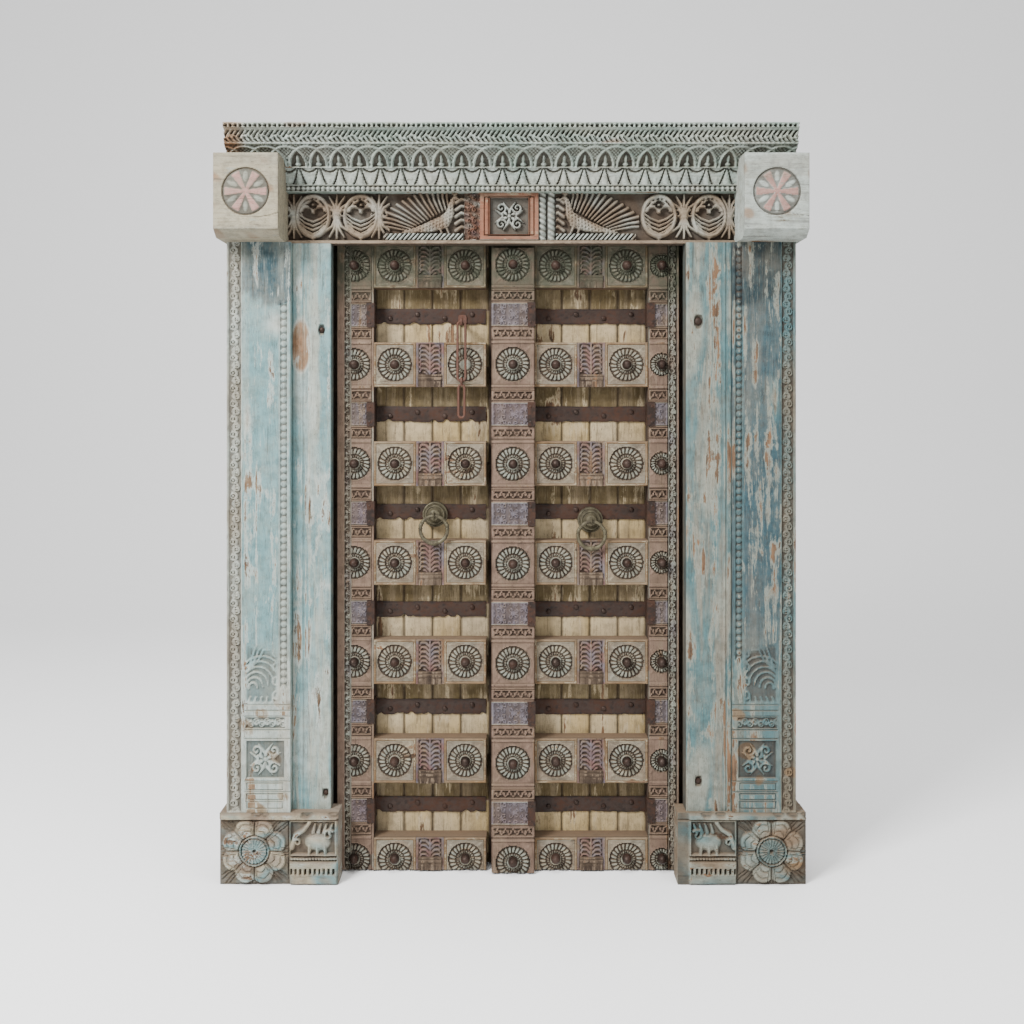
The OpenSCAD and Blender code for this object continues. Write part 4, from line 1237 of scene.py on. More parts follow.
def make_tiles(side, material):
    node = side + "_rosette_tiles"
    low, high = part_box(node)
    carve_low, carve_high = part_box(side + "_leaf_carvings")
    cut = Cutting()
    gap = 0.4 * MM
    for i in range(1, ROWS + 1):
        for x0, x1 in ((low.x + gap, carve_low.x - 2 * gap), (carve_high.x + 2 * gap, high.x - gap)):
            cx, cz = (x0 + x1) / 2, row_z(i)
            draw = np.random.default_rng(int(1000 * (x0 + 2) + i))
            proud = draw.uniform(0, 0.6) * MM
            z0, z1 = max(low.z, cz - RAIL_HEIGHT / 2), cz + RAIL_HEIGHT / 2
            half_w = (x1 - x0) / 2

            def shape(x, z):
                height = tile_shape(x - cx, z - cz, half_w, RAIL_HEIGHT / 2, 0.0535)
                return height + 0.10 * waver(x, z, 0.06, i) - 0.1

            def tint(x, z):
                r = np.hypot(x - cx, z - cz)
                inside = np.where(r < 0.0525, 1.0 + 0.25 * waver(x, z, 0.05, i + 40), 0.0)
                patch = 0.5 + 0.5 * waver(x, z, 0.10, i + 70)
                rim = np.minimum(half_w - np.abs(x - cx), RAIL_HEIGHT / 2 - np.abs(z - cz))
                return np.where(r < 0.0525, np.clip(inside, 0.7, 1.2), 2.0 * (rim < 8.5 * MM) + 0.5 * patch)

            flat_relief(cut, (x0, low.y + proud, z0), (x1, high.y, z1), shape, 6.5 * MM, 2.6 * MM, tint)
    cut.make(side + "_rosettes", [material], side + "_leaf", [node])


def leaf_shape(u, v):
    """An upright leaf between beaded edges; u from its rib, v from the panel's middle."""
    height = 0.9 * dome(np.abs(u) - 0.0385, 4 * MM)
    height = np.maximum(height, stroke(u, v, [(0, -0.030), (0, 0.062)], 4 * MM, 2.5 * MM))
    for k in range(6):
        base = -0.026 + 0.014 * k
        for sign in (-1, 1):
            points = [(0, base), (sign * 0.013, base + 0.013), (sign * 0.027, base + 0.014),
                      (sign * 0.031, base + 0.004)]
            height = np.maximum(height, 0.85 * stroke(u, v, points, 4.6 * MM, 2.6 * MM))
    for sign in (-1, 1):
        height = np.maximum(height, 0.8 * stroke(u, v, curl(sign * 0.018, -0.036, 0.012, 90, sign * 300),
                                                 3.6 * MM, 2.6 * MM))
    return height


def make_leaf_carvings(side, material):
    node = side + "_leaf_carvings"
    low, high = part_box(node)
    cut = Cutting()
    top_y, middle = low.y + 5.5 * MM, (low.x + high.x) / 2
    for i in range(1, ROWS + 1):
        z0, z1 = max(low.z, row_z(i) - RAIL_HEIGHT / 2), row_z(i) + RAIL_HEIGHT / 2

        def shape(x, z):
            v = z - row_z(i)
            height = leaf_shape(x - middle, v)
            top = field(x, z, low.x + 3 * MM, high.x - 3 * MM, z0, z1 - 4 * MM)
            return 0.1 + 0.9 * sunk(top, height, 0.05) + 0.06 * waver(x, z, 0.05, i)

        def tint(x, z):
            return np.clip(1.1 * waver(x, z, 0.05, i + 9) + 0.5, 0, 2)

        flat_relief(cut, (low.x, top_y, z0), (high.x, high.y, z1), shape, 7 * MM, 2.6 * MM, tint)
        foot = z0 + RAIL_HEIGHT * 0.28

        def foot_shape(x, z):
            height = 1 - 0.5 * dome(z - foot + 0.007, 2 * MM) - 0.5 * dome(z - foot + 0.019, 2 * MM)
            notch = ramp(np.abs(fold(x - middle, 0.018)), 3 * MM, 1 * MM) * (z < foot - 0.020)
            return height - 0.4 * notch + 0.2 * waver(x, z, 0.03, i)

        flat_relief(cut, (low.x + 7 * MM, low.y + 0.5 * MM, z0), (high.x - 7 * MM, high.y - 1 * MM, foot),
                    foot_shape, 4 * MM, 2.6 * MM, lambda x, z: np.full(x.shape, 3.0))
    cut.make(side + "_leaves", [material], side + "_leaf", [node])


def stile_shape(a, z, a0, a1, flower_a):
    """Bands of a stile between a0 and a1: a rosette at each rail, a square at each strap."""
    v = (z - FIRST_ROW_Z + ROW_PITCH / 2) % ROW_PITCH - ROW_PITCH / 2
    middle = (a0 + a1) / 2
    edge = np.minimum(a - a0, a1 - a)
    u, m = a - flower_a, np.abs(v)
    height = np.ones(a.shape)
    tile = tile_shape(u, v, 1.0, 0.071, min(0.0535, a1 - flower_a - 2 * MM))
    height = np.where(m < 0.0715, tile, height)
    band_middle = 0.0945
    leafy = np.abs(fold(a - middle, 0.022))
    zigzag = dome(np.abs((m - band_middle) - 0.008 * np.cos(TAU * (a - middle) / 0.024)), 3.2 * MM)
    curls = np.maximum(zigzag, dome(np.hypot(leafy - 0.006, (m - band_middle) * 0.8), 4.2 * MM))
    height = np.where((m > 0.081) & (m < 0.108), sunk(field(a, m, a0 + 2 * MM, a1 - 4 * MM, 0.082, 0.107),
                                                      curls, 0.2), height)
    q = m - ROW_PITCH / 2
    square = sunk(field(a, q, a0 + 2 * MM, a1 - 4 * MM, -0.033, 9),
                  np.maximum(scrollwork(a - middle, q, 0.036, 5), 0.35), 0.25)
    height = np.where(m > ROW_PITCH / 2 - 0.034, square, height)
    for level in (0.0745, 0.0785, 0.1105, 0.1155):
        height = np.minimum(height, 1 - 0.55 * dome(m - level, 1.7 * MM))
    return height - 0.2 * ramp(edge, 2 * MM, 0), m


def stile_tint(m, a, z, seed, flower_a, radius=0.0525):
    """0 umber ground, 1 chalk petals, 2 lavender squares, 3 mauve shading."""
    tint = np.where(np.hypot(a - flower_a, m) < radius, 1.0, 0.0)
    tint = np.where(m > ROW_PITCH / 2 - 0.034, 2.0 + 0.5 * ramp(waver(a, z, 0.5, seed), 0, 0.8), tint)
    return tint


def make_hinge_stile(side, material, plain, band, inner_edge):
    """A hinge stile with its pivot pins; plain and band are the widths from its outer edge."""
    node = side + "_hinge_stile"
    low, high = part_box(node)
    lintel_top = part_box("meeting_stile")[1].z
    shoe_low, shoe_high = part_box(side + "_pivot_shoe")
    outer = low.x if side == "left" else high.x
    sign = 1 if side == "left" else -1
    width = high.x - low.x
    pin_r, pin_x = 20 * MM, outer + sign * 30 * MM
    pin_y = (shoe_low.y + shoe_high.y) / 2
    notch_top = shoe_high.z + 10 * MM
    notch_in = pin_x + sign * (26 + 6) * MM
    skirt = low.y + 17 * MM
    a0 = plain + band + 3 * MM

    def shape(x, z):
        a = (x - outer) * sign
        height, _ = stile_shape(a, z, a0, width - inner_edge, 0.052)
        strip = sunk(field(a, z, plain, plain + band, -9, 9), vine(z, a - plain - band / 2, 0.036,
                                                                   band * 0.48), 0.2)
        height = np.where(a < a0 - 1 * MM, strip, height)
        height = height - 0.5 * dome(a - a0 + 1.5 * MM, 1.6 * MM)
        height = np.where(a > width - inner_edge, 1 - 0.5 * dome(a - width + inner_edge, 1.6 * MM), height)
        return np.clip(height + 0.08 * waver(x, z, 0.08, 51), 0, 1.08) - 0.08

    def tint(x, z):
        a = (x - outer) * sign
        _, m = stile_shape(a, z, a0, width - inner_edge, 0.052)
        radius = min(0.0535, width - inner_edge - 0.054) - 1 * MM
        shade = stile_tint(m, a, z, 52, 0.052, radius)
        shade = np.where(a < plain + 1 * MM, 0.0, np.where(a < a0, 1.0 + waver(x, z, 0.1, 53) * 0.6, shade))
        return np.clip(np.where(a > width - inner_edge, 0.6 * (waver(x, z, 0.2, 54) > 0), shade), 0, 3)

    cut = Cutting()
    depth = carving().stile_depth
    cell = carving().cell
    flat_relief(cut, (low.x, low.y, notch_top), (high.x, high.y, lintel_top), shape, depth, cell, tint)
    x0, x1 = sorted((outer, notch_in))
    flat_relief(cut, (x0, low.y, low.z), (x1, skirt, notch_top), shape, depth, cell, tint)
    x0, x1 = sorted((notch_in, outer + sign * width))
    flat_relief(cut, (x0, low.y, low.z), (x1, high.y, notch_top), shape, depth, cell, tint)
    strip_width, front, rear = HINGE_STRIP
    x0, x1 = sorted((outer - sign * strip_width, outer))
    # The rear strip gets carve value 0.1, which darkens it: painted shade in the gap beside the stile.
    block(cut, (x0, low.y + front, notch_top + 2 * MM), (x1, low.y + rear, lintel_top), 1 * MM, 0.1)
    pins = [(shoe_high.z - 28 * MM, notch_top + 5 * MM), (lintel_top - 5 * MM, high.z)]
    for z0, z1 in pins:
        path = [(pin_x, pin_y, z0), (pin_x, pin_y, z0 + 2 * MM), (pin_x, pin_y, z1 - 2 * MM),
                (pin_x, pin_y, z1)]
        tube(cut, path, [pin_r - 2 * MM, pin_r, pin_r, pin_r - 2 * MM], 24)
    cut.make(side + "_carved_stile", [material], side + "_leaf", [node])


def make_meeting_stile(material):
    low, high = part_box("meeting_stile")
    face_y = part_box("left_hinge_stile")[0].y
    proud_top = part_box("carved_lintel")[0].z - 8 * MM

    def shape(x, z):
        height, _ = stile_shape(x, z, low.x + 3 * MM, high.x - 1 * MM, 0.0)
        return np.clip(height + 0.08 * waver(x, z, 0.08, 55), 0, 1.08) - 0.08

    def tint(x, z):
        _, m = stile_shape(x, z, low.x, high.x, 0.0)
        return stile_tint(m, x, z, 56, 0.0)

    cut = Cutting()
    flat_relief(cut, (low.x, low.y, low.z), (high.x, face_y + 5 * MM, proud_top), shape,
                carving().stile_depth, carving().cell, tint)
    # The back block and the rear strip get low carve values, which darken them: painted shade in the gap
    # between the leaves.
    block(cut, (low.x, face_y + 5 * MM, low.z), (high.x, high.y, high.z), 1.5 * MM, 0.3)
    width, before, behind = MEETING_STRIP
    block(cut, (low.x - width, high.y - before, low.z), (low.x, high.y + behind, high.z), 1 * MM, 0.1)
    cut.make("carved_meeting_stile", [material], "right_leaf", ["meeting_stile"])


def make_boards(side, material):
    """Rough boards with uneven faces and worn edges, and a lap behind each joint."""
    node = side + "_boards"
    low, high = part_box(node)
    count, gap = 4, 1.5 * MM
    width = (high.x - low.x - (count - 1) * gap) / count
    cut = Cutting()
    for k in range(count):
        x0 = low.x + k * (width + gap)
        draw = np.random.default_rng(300 + k + (50 if side == "left" else 0))
        offset = draw.uniform(-0.5, 0.5)
        seed = int(draw.integers(1000))

        def shape(x, z):
            edge = np.minimum(x - x0, x0 + width - x)
            height = 1 - 0.8 * ramp(edge, 4 * MM, 0) + 0.20 * waver(x * 3, z, 0.25, seed) - 0.2
            return height - 0.2 * dome(fold(x - x0 - 0.4 * width, 1.0), 3 * MM)

        def tint(x, z):
            v = (z - FIRST_ROW_Z) % ROW_PITCH
            # Painted shadow of the rail above: from the strap up to the next rail each bay takes the darker
            # accent C.
            shadow = ramp(v, ROW_PITCH * 0.5, ROW_PITCH * 0.60)
            base = 0.45 + 0.5 * offset + 0.5 * waver(x, z, 0.3, seed + 1)
            return np.clip(np.where(shadow > 0.5, 3.0, base), 0, 3)

        flat_relief(cut, (x0, low.y, low.z), (x0 + width, high.y, high.z), shape, 4 * MM,
                    (6.5 * MM, 11 * MM), tint)
        if k:
            # The lap gets carve value 0.1, which darkens it: painted shade in the joint between boards.
            block(cut, (x0 - gap - 3 * MM, low.y + 12 * MM, low.z + 1 * MM),
                  (x0 + 3 * MM, low.y + 18 * MM, high.z - 1 * MM), 1 * MM, 0.1)
    cut.make(side + "_planks", [material], side + "_leaf", [node])


# ---------------------------------------------------------------- ironwork

def make_straps(side, ragged, material):
    """Flat bars with hand-drawn edges; ragged is how far rust has eaten the lower edge."""
    node = side + "_straps"
    low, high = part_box(node)
    half = 25 * MM
    cut = Cutting()
    for i in range(1, ROWS):
        zc = row_z(i) + ROW_PITCH / 2
        u = np.linspace(low.x, high.x, 76)
        v = np.linspace(-1, 1, 11)
        grid_u, grid_v = np.meshgrid(u, v)
        bite = ramp(waver(u, u * 0 + i, 0.035, 500 + i), 0.1, 1.0) * ragged
        edge_low = half - 1.2 * MM + 1.2 * MM * waver(u, u * 0 + i, 0.12, 400 + i) - bite
        edge_high = half - 1.2 * MM + 1.2 * MM * waver(u, u * 0 + i, 0.12, 450 + i)

        def rise(x, t):
            return zc + t * np.where(t < 0, np.interp(x, u, edge_low), np.interp(x, u, edge_high))

        def place(x, t, h):
            return np.stack([x, low.y + (1 - h) * 2.2 * MM, rise(x, t)], -1)

        def back(x, t):
            return np.stack([x, np.full_like(x, high.y), rise(x, t)], -1)

        height = 1 - 0.5 * ramp(np.abs(grid_v), 0.88, 1.0)
        pits = ramp(waver(grid_u, grid_v * 0.03, 0.02, 600 + i), 0.5, 1.1)
        height = height - 0.4 * pits + 0.1 * waver(grid_u, grid_v * 0.03, 0.09, 650 + i)
        relief(cut, u, v, np.clip(height, 0, 1), place, back)
    cut.make(side + "_iron_straps", [material], side + "_leaf", [node])


def ironwork_places(node):
    """Boxes of the separate heads in a CAD node of studs or nails."""
    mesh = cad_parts[node].data
    count = len(mesh.vertices)
    parent = list(range(count))

    def find(i):
        while parent[i] != i:
            parent[i] = parent[parent[i]]
            i = parent[i]
        return i

    keys = {}
    for vertex in mesh.vertices:
        key = tuple(round(c, 5) for c in vertex.co)
        parent[find(vertex.index)] = find(keys.setdefault(key, vertex.index))
    for edge in mesh.edges:
        parent[find(edge.vertices[0])] = find(edge.vertices[1])
    parts = {}
    for vertex in mesh.vertices:
        parts.setdefault(find(vertex.index), []).append(vertex.co)
    boxes = []
    for points in parts.values():
        co = np.array([tuple(p) for p in points])
        boxes.append((co.min(0), co.max(0)))
    boxes.sort(key=lambda b: (round(b[0][2], 4), b[0][0]))
    merged = []
    for lo, hi in boxes:
        for k, (a, b) in enumerate(merged):
            if np.hypot(*((a + b - lo - hi)[[0, 2]] / 2)) < 5 * MM:
                merged[k] = (np.minimum(a, lo), np.maximum(b, hi))
                break
        else:
            merged.append((lo, hi))
    return merged


def make_heads(node, name, body, material, steps):
    """Hand-forged domed heads in the places of the CAD's studs or nails."""
    cut = Cutting()
    for k, (lo, hi) in enumerate(ironwork_places(node)):
        radius, tall = (hi[0] - lo[0]) / 2, hi[1] - lo[1]
        draw = np.random.default_rng(700 + k)
        phase, dent = draw.uniform(0, TAU), draw.uniform(0.01, 0.045)
        neck = 0.30 * tall
        profile = [(radius * 0.99, -0.5 * MM), (radius, neck * 0.5), (radius * 0.985, neck)]
        for angle in (18, 36, 54, 70, 82):
            a = math.radians(angle)
            profile.append((radius * 0.985 * math.cos(a), neck + (tall - neck) * math.sin(a)))
        profile.append((radius * 0.02, tall))

        def wobble(a, forward):
            return -dent * (0.5 + 0.5 * math.cos(3 * a + phase)) - 0.01 * math.cos(7 * a)

        turned(cut, ((lo[0] + hi[0]) / 2, hi[1], (lo[2] + hi[2]) / 2), profile, steps, wobble)
    cut.make(name, [material], body, [node])


def make_clips(side, material):
    """Sheet clips folded over the stiles' edges, with uneven corners and two rivets."""
    node = side + "_clips"
    cut = Cutting()
    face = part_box("left_hinge_stile")[0].y
    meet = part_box("meeting_stile")
    boards_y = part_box(node)[1].y
    seats = []
    if side == "left":
        seats.append((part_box("left_boards")[0].x, face, 1))
    else:
        seats.append((meet[1].x, meet[0].y, 1))
        seats.append((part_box("right_boards")[1].x, face, -1))
    thick, width, tall = 3 * MM, 22 * MM, 75 * MM
    for i in range(1, ROWS):
        zc = row_z(i) + ROW_PITCH / 2
        for x, y, sign in seats:
            u = np.linspace(-width, thick, 9) if sign > 0 else np.linspace(-thick, width, 9)
            v = np.linspace(-tall / 2, tall / 2, 21)
            gu, gv = np.meshgrid(u, v)
            seed = 800 + 3 * i + sign
            height = 1 + 0.2 * waver(gu, gv, 0.03, seed) - 0.3
            outer_u = -width if sign > 0 else width

            def place(a, b, h):
                bite = 2.4 * MM * (0.5 + 0.5 * waver(b * 0, b, 0.03, seed + 1))
                pull = np.abs(a - outer_u) < 1e-6
                a = a + np.where(pull, sign * bite, 0)
                b = b * (1 - 0.03 * (0.5 + 0.5 * waver(a, b * 0, 0.02, seed + 2)))
                return np.stack([x + a, y - thick + (1 - h) * 2 * MM + 0 * a, zc + b], -1)

            def back(a, b):
                out = place(a, b, 1.0)
                out[:, 1] = y
                return out

            relief(cut, u, v, height, place, back)
            x0, x1 = sorted((x, x + sign * thick))
            fold_half = tall / 2 - 1.5 * MM
            block(cut, (x0, y - 0.5 * MM, zc - fold_half), (x1, boards_y, zc + fold_half), 0.8 * MM)
            for b in (-0.024, 0.023):
                turned(cut, (x - sign * 0.012, y - thick + 1 * MM, zc + b),
                       [(4.2 * MM, 0), (4.0 * MM, 1.2 * MM), (2.4 * MM, 2.2 * MM), (0.2 * MM, 2.4 * MM)], 12)
    cut.make(side + "_iron_clips", [material], side + "_leaf", [node])


def make_rose(side, material):
    """A stepped round rose with beaded rings and an eye across its middle."""
    node = side + "_ring_rose"
    low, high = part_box(node)
    x = (low.x + high.x) / 2
    seat, front = high.y, low.y
    radius = (high.x - low.x) / 2
    z = (low.z + high.z) / 2
    hinge_y = front + 11 * MM
    reach = seat - hinge_y
    steps = [(0.99, 0.0), (1.0, 0.03), (1.0, 0.22), (0.96, 0.27), (0.88, 0.285), (0.84, 0.26), (0.80, 0.28),
             (0.78, 0.33), (0.78, 0.43), (0.74, 0.475), (0.66, 0.485), (0.60, 0.455), (0.55, 0.47),
             (0.50, 0.52), (0.47, 0.66), (0.40, 0.72), (0.26, 0.745), (0.02, 0.75)]
    cut = Cutting()

    def wobble(a, forward):
        share = forward / reach
        if 0.02 < share < 0.25:
            return -0.05 * (0.5 + 0.5 * math.cos(18 * a))
        if 0.30 < share < 0.46:
            return -0.045 * (0.5 + 0.5 * math.cos(14 * a))
        return 0

    profile = [(r * radius, f * reach) for r, f in steps]
    turned(cut, (x, seat, z), profile, 72, wobble)
    angles = np.linspace(0, TAU, 29)[:-1]
    ring = [(x, hinge_y + 8.75 * MM * math.sin(a), z + 8.75 * MM * math.cos(a)) for a in angles]
    tube(cut, ring, 6 * MM, 12, True, 0.37)
    block(cut, (x - 5 * MM, hinge_y + 9 * MM, z - 8 * MM),
          (x + 5 * MM, hinge_y + 22 * MM, z + 8 * MM), 2 * MM)
    cut.make(side + "_rose", [material], side + "_leaf", [node])


def make_ring(side, material):
    """A crescent ring: slim in its eye, pointed at each shoulder, heavy at its foot."""
    node = side + "_ring"
    low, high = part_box(node)
    x, y = (low.x + high.x) / 2, (low.y + high.y) / 2
    bar = 5.5 * MM
    major = 42 * MM
    z = high.z - bar - major
    cut = Cutting()
    path, radii = [], []
    for k in range(96):
        a = k / 96 * TAU
        down = 0.5 - 0.5 * math.sin(a)
        lobe = sum(math.exp(-((a - math.radians(c)) / 0.10) ** 2) for c in (18, 162))
        foot = math.exp(-((a - math.radians(270)) / 0.14) ** 2)
        swell = bar * (0.92 + 0.28 * down ** 2) + 1.5 * MM * lobe + 1.6 * MM * foot
        radius = major - 0.8 * MM * down + 0.6 * MM * lobe
        path.append((x + radius * math.cos(a), y, z + radius * math.sin(a)))
        radii.append(min(swell, 7.7 * MM))
    tube(cut, path, radii, 14, True)
    for centre in (18, 162, 270):
        a = math.radians(centre)
        for offset in (-0.22, 0.22):
            b = a + offset
            reach = major - 0.5 * MM
            middle = np.array((x + reach * math.cos(b), y, z + reach * math.sin(b)))
            ahead = np.array((-math.sin(b), 0, math.cos(b)))
            ends = [middle + ahead * t * MM for t in (-1.8, -0.9, 0, 0.9, 1.8)]
            tube(cut, ends, [5.2 * MM, 7.0 * MM, 7.4 * MM, 7.0 * MM, 5.2 * MM], 16)
    cut.make(side + "_pull", [material], side + "_ring", [node])


def racetrack(x, y, z_top, length, width, steps=14):
    """Points of a long closed link that hangs from z_top."""
    r = width / 2
    points = []
    for start, z, sign in ((0, z_top - r, -1), (math.pi, z_top - length + r, 1)):
        for k in range(steps + 1):
            a = start + math.pi * k / steps
            points.append((x + r * math.cos(a), y, z + r * math.sin(a)))
        for k in range(1, 9):
            points.append((x + sign * r, y, z + sign * (length - width) * k / 9))
    return points


def eye_ring(cut, x, y, z, middle, bar):
    """A round eye whose hole runs along X."""
    angles = np.linspace(0, TAU, 25)[:-1]
    tube(cut, [(x, y + middle * math.sin(a), z + middle * math.cos(a)) for a in angles], bar, 10, True)


def make_hasp(material):
    """The eye bolt, the long link and the hook link of the hanging hasp."""
    bar, fit, eye_bar = 4 * MM, 0.8 * MM, 3.5 * MM
    eye_r = bar + fit + eye_bar
    low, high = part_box("hasp_eye")
    x, y = (low.x + high.x) / 2, low.y + eye_r + eye_bar
    z = low.z + eye_r + eye_bar
    cut = Cutting()
    eye_ring(cut, x, y, z, eye_r, eye_bar)
    shank = [(x, high.y, z), (x, high.y - 20 * MM, z), (x, y + eye_r, z)]
    tube(cut, shank, [5.2 * MM, 4.6 * MM, 4 * MM], 14)
    u = np.linspace(-13 * MM, 13 * MM, 12)
    v = np.linspace(-17 * MM, 17 * MM, 16)
    gu, gv = np.meshgrid(u, v)

    def place(a, b, h):
        shrink = 1 - 0.12 * ramp(np.hypot(a, b), 14 * MM, 21 * MM)
        front = high.y - 4 * MM + (1 - h) * 2 * MM + 0 * a
        return np.stack([x + a * shrink, front, z + 10 * MM + b * shrink], -1)

    def back(a, b):
        out = place(a, b, 1.0)
        out[:, 1] = high.y
        return out

    relief(cut, u, v, 0.85 + 0.15 * waver(gu, gv, 0.02, 90), place, back)
    cut.make("hasp_staple", [material], "left_leaf", ["hasp_eye"])

    long_low, long_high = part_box("hasp_long_link")
    cut = Cutting()
    width = (long_high.x - long_low.x) - 2 * bar
    path = racetrack(x, y, long_high.z - bar, (long_high.z - long_low.z) - 2 * bar, width)
    rough = np.random.default_rng(91).uniform(0.88, 1.0, len(path))
    tube(cut, path, bar * rough, 12, True)
    cut.make("hasp_link", [material], "hasp_long_link", ["hasp_long_link"])

    hook_low, hook_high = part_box("hasp_lower_link")
    cut = Cutting()
    eye_out = eye_r + eye_bar
    hinge_z = hook_high.z - eye_out
    eye_ring(cut, x, y, hinge_z, eye_r, eye_bar)
    top = hinge_z - eye_out
    width = 18 * MM
    path = racetrack(x, y, top, top - hook_low.z - bar, width)
    rough = np.random.default_rng(92).uniform(0.86, 1.0, len(path))
    tube(cut, path, bar * rough, 12, True)
    cut.make("hasp_hook", [material], "hasp_lower_link", ["hasp_lower_link"])


def dress_node(node, material, bevel):
    """Gives a CAD node that stays in view its material and softened edges."""
    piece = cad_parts[node]
    piece.data.materials.clear()
    piece.data.materials.append(material)
    softening = piece.modifiers.new("Worn edges", "BEVEL")
    softening.width = bevel
    softening.segments = 2
    softening.limit_method = "ANGLE"


# ---------------------------------------------------------------- stage

def set_stage():
    """Pale floor, soft studio light and a level camera in front of the door."""
    scene = bpy.context.scene
    floor_material = bpy.data.materials.new("Floor")
    floor_material.use_nodes = True
    shader = floor_material.node_tree.nodes["Principled BSDF"]
    shader.inputs["Base Color"].default_value = (0.86, 0.86, 0.86, 1)
    shader.inputs["Roughness"].default_value = 0.8
    mesh = bpy.data.meshes.new("floor")
    bend = [(4 + 3 * math.sin(math.radians(a)), 3 - 3 * math.cos(math.radians(a))) for a in range(0, 91, 6)]
    run = [(-9, 0)] + bend + [(7, 12)]
    mesh.from_pydata([(x, y, z) for y, z in run for x in (-16, 16)], [],
                     [(2 * k, 2 * k + 1, 2 * k + 3, 2 * k + 2) for k in range(len(run) - 1)])
    mesh.polygons.foreach_set("use_smooth", [True] * len(mesh.polygons))
    floor = bpy.data.objects.new("floor", mesh)
    mesh.materials.append(floor_material)
    scene.collection.objects.link(floor)

    world = bpy.data.worlds.new("Studio")
    world.use_nodes = True
    background = world.node_tree.nodes["Background"]
    background.inputs[0].default_value = (1, 1, 1, 1)
    background.inputs[1].default_value = 0.9
    scene.world = world

    def light(name, place, aim, size, energy):
        data = bpy.data.lights.new(name, "AREA")
        data.shape = "RECTANGLE"
        data.size, data.size_y = size
        data.energy = energy
        lamp = bpy.data.objects.new(name, data)
        lamp.location = place
        lamp.rotation_euler = (Vector(aim) - Vector(place)).to_track_quat("-Z", "Y").to_euler()
        scene.collection.objects.link(lamp)

    light("key", (-2.8, -3.4, 4.2), (0, 0, 1.1), (1.6, 1.6), 620)
    light("top", (0, -0.9, 5.2), (0, 0.4, 0), (4.0, 3.0), 260)
    light("fill", (3.4, -3.2, 1.8), (0, 0, 1.1), (2.5, 2.5), 40)

    camera_data = bpy.data.cameras.new("camera")
    camera = bpy.data.objects.new("camera", camera_data)
    camera.location = (-4.5 * MM, -3.3575, 1.414)
    camera.rotation_euler = (math.radians(90), 0, 0)
    camera_data.sensor_width = 36
    camera_data.lens = 38.9
    camera_data.shift_x = 0.0005
    camera_data.shift_y = -0.098
    scene.collection.objects.link(camera)
    scene.camera = camera


# ---------------------------------------------------------------- operators

def named(name, maker):
    """A material made by maker the first time it is asked for."""
    return bpy.data.materials.get(name) or maker(name)


def rail_timber(name="Rail timber"):
    return named(name, lambda n: plain_timber(n, "bare", 0.5, (0.07, 1, 1), 0.55))


def plain_timber(name, paint_name, wear, grain, dusty):
    return timber_material(name, paint_name, ("bare", "bare", "bare"), "dust", "bare", wear, dusty,
                           0.5, grain, 0.4)


def iron(name="Stud iron"):
    return named(name, lambda n: metal_material(n, paint("iron"), paint("rust"), (0.16, 0.12, 0.10, 1),
                                                0.55, 0.35))


class DressPosts(bpy.types.Operator):
    """Carves and paints the two posts"""
    bl_idname = "temple_door.posts"
    bl_label = "Posts"

    def execute(self, context):
        # The left post's paint, undercoat and dust are lighter than the right's: painted light from the
        # left.
        left = timber_material("Left post paint", "lit_turquoise", ("petal", "ochre", "deep_blue"), wear=0.28,
                               undercoat="petal", depth=0.66, drift=0.30, dust="cream")
        # Accent C of each post, the deep blue on the left and the darker blue here, paints the shadow at its
        # top.
        right = timber_material("Right post paint", "deep_blue", ("turquoise", "ochre", "post_top_shadow_blue"),
                                wear=0.30, depth=0.70, drift=0.20)
        make_post("left_post", -1, 0.583, 1.748, left)
        make_post("right_post", 1, 0.670, 1.913, right)
        return {"FINISHED"}


class DressJambs(bpy.types.Operator):
    """Paints the two jambs and sets the rusted fixings in them"""
    bl_idname = "temple_door.jambs"
    bl_label = "Jambs"

    def execute(self, context):
        # The left jamb's paint, undercoat and dust are lighter than the right's: painted light from the
        # left.
        left = timber_material("Left jamb paint", "lit_turquoise", ("petal", "bare", "cream"), wear=0.28,
                               undercoat="petal", drift=0.7, dust="cream")
        right = timber_material("Right jamb paint", "turquoise", ("chalk", "cream", "bare"), wear=0.33,
                                drift=0.8)
        make_jamb("left_jamb", -1, -0.632, [(-0.578, 1.661, 0.012), (-0.566, 0.262, 0.011)], left, iron())
        make_jamb("right_jamb", 1, 0.640, [(0.557, 1.686, 0.016), (0.557, 0.304, 0.013)], right, iron())
        return {"FINISHED"}


class DressBases(bpy.types.Operator):
    """Carves and paints the base blocks"""
    bl_idname = "temple_door.bases"
    bl_label = "Base blocks"

    def execute(self, context):
        # The left base's blue accent is the lighter copy of the turquoise: painted light from the left.
        left = timber_material("Left base paint", "sand", ("cream", "lit_turquoise", "ochre"), wear=0.38,
                               undercoat="petal", dust="sand", dusty=0.6, depth=0.75, grain=(0.2, 1, 1))
        right = timber_material("Right base paint", "dust", ("chalk", "turquoise", "ochre"), wear=0.38,
                                dusty=0.5, depth=0.75, grain=(0.2, 1, 1))
        make_base("left_base_block", -1, left)
        make_base("right_base_block", 1, right)
        return {"FINISHED"}


class DressCornerBlocks(bpy.types.Operator):
    """Cuts the spoked circles in the corner blocks"""
    bl_idname = "temple_door.corner_blocks"
    bl_label = "Corner blocks"

    def execute(self, context):
        left = timber_material("Left block paint", "cream", ("chalk", "pink", "bare"), wear=0.16,
                               grain=(0.06, 1, 1), dusty=0.25)
        right = timber_material("Right block paint", "petal", ("petal", "pink", "bare"), wear=0.16,
                                grain=(0.06, 1, 1), dusty=0.25)
        make_corner_block("left_corner_block", 31, left)
        make_corner_block("right_corner_block", 37, right)
        return {"FINISHED"}


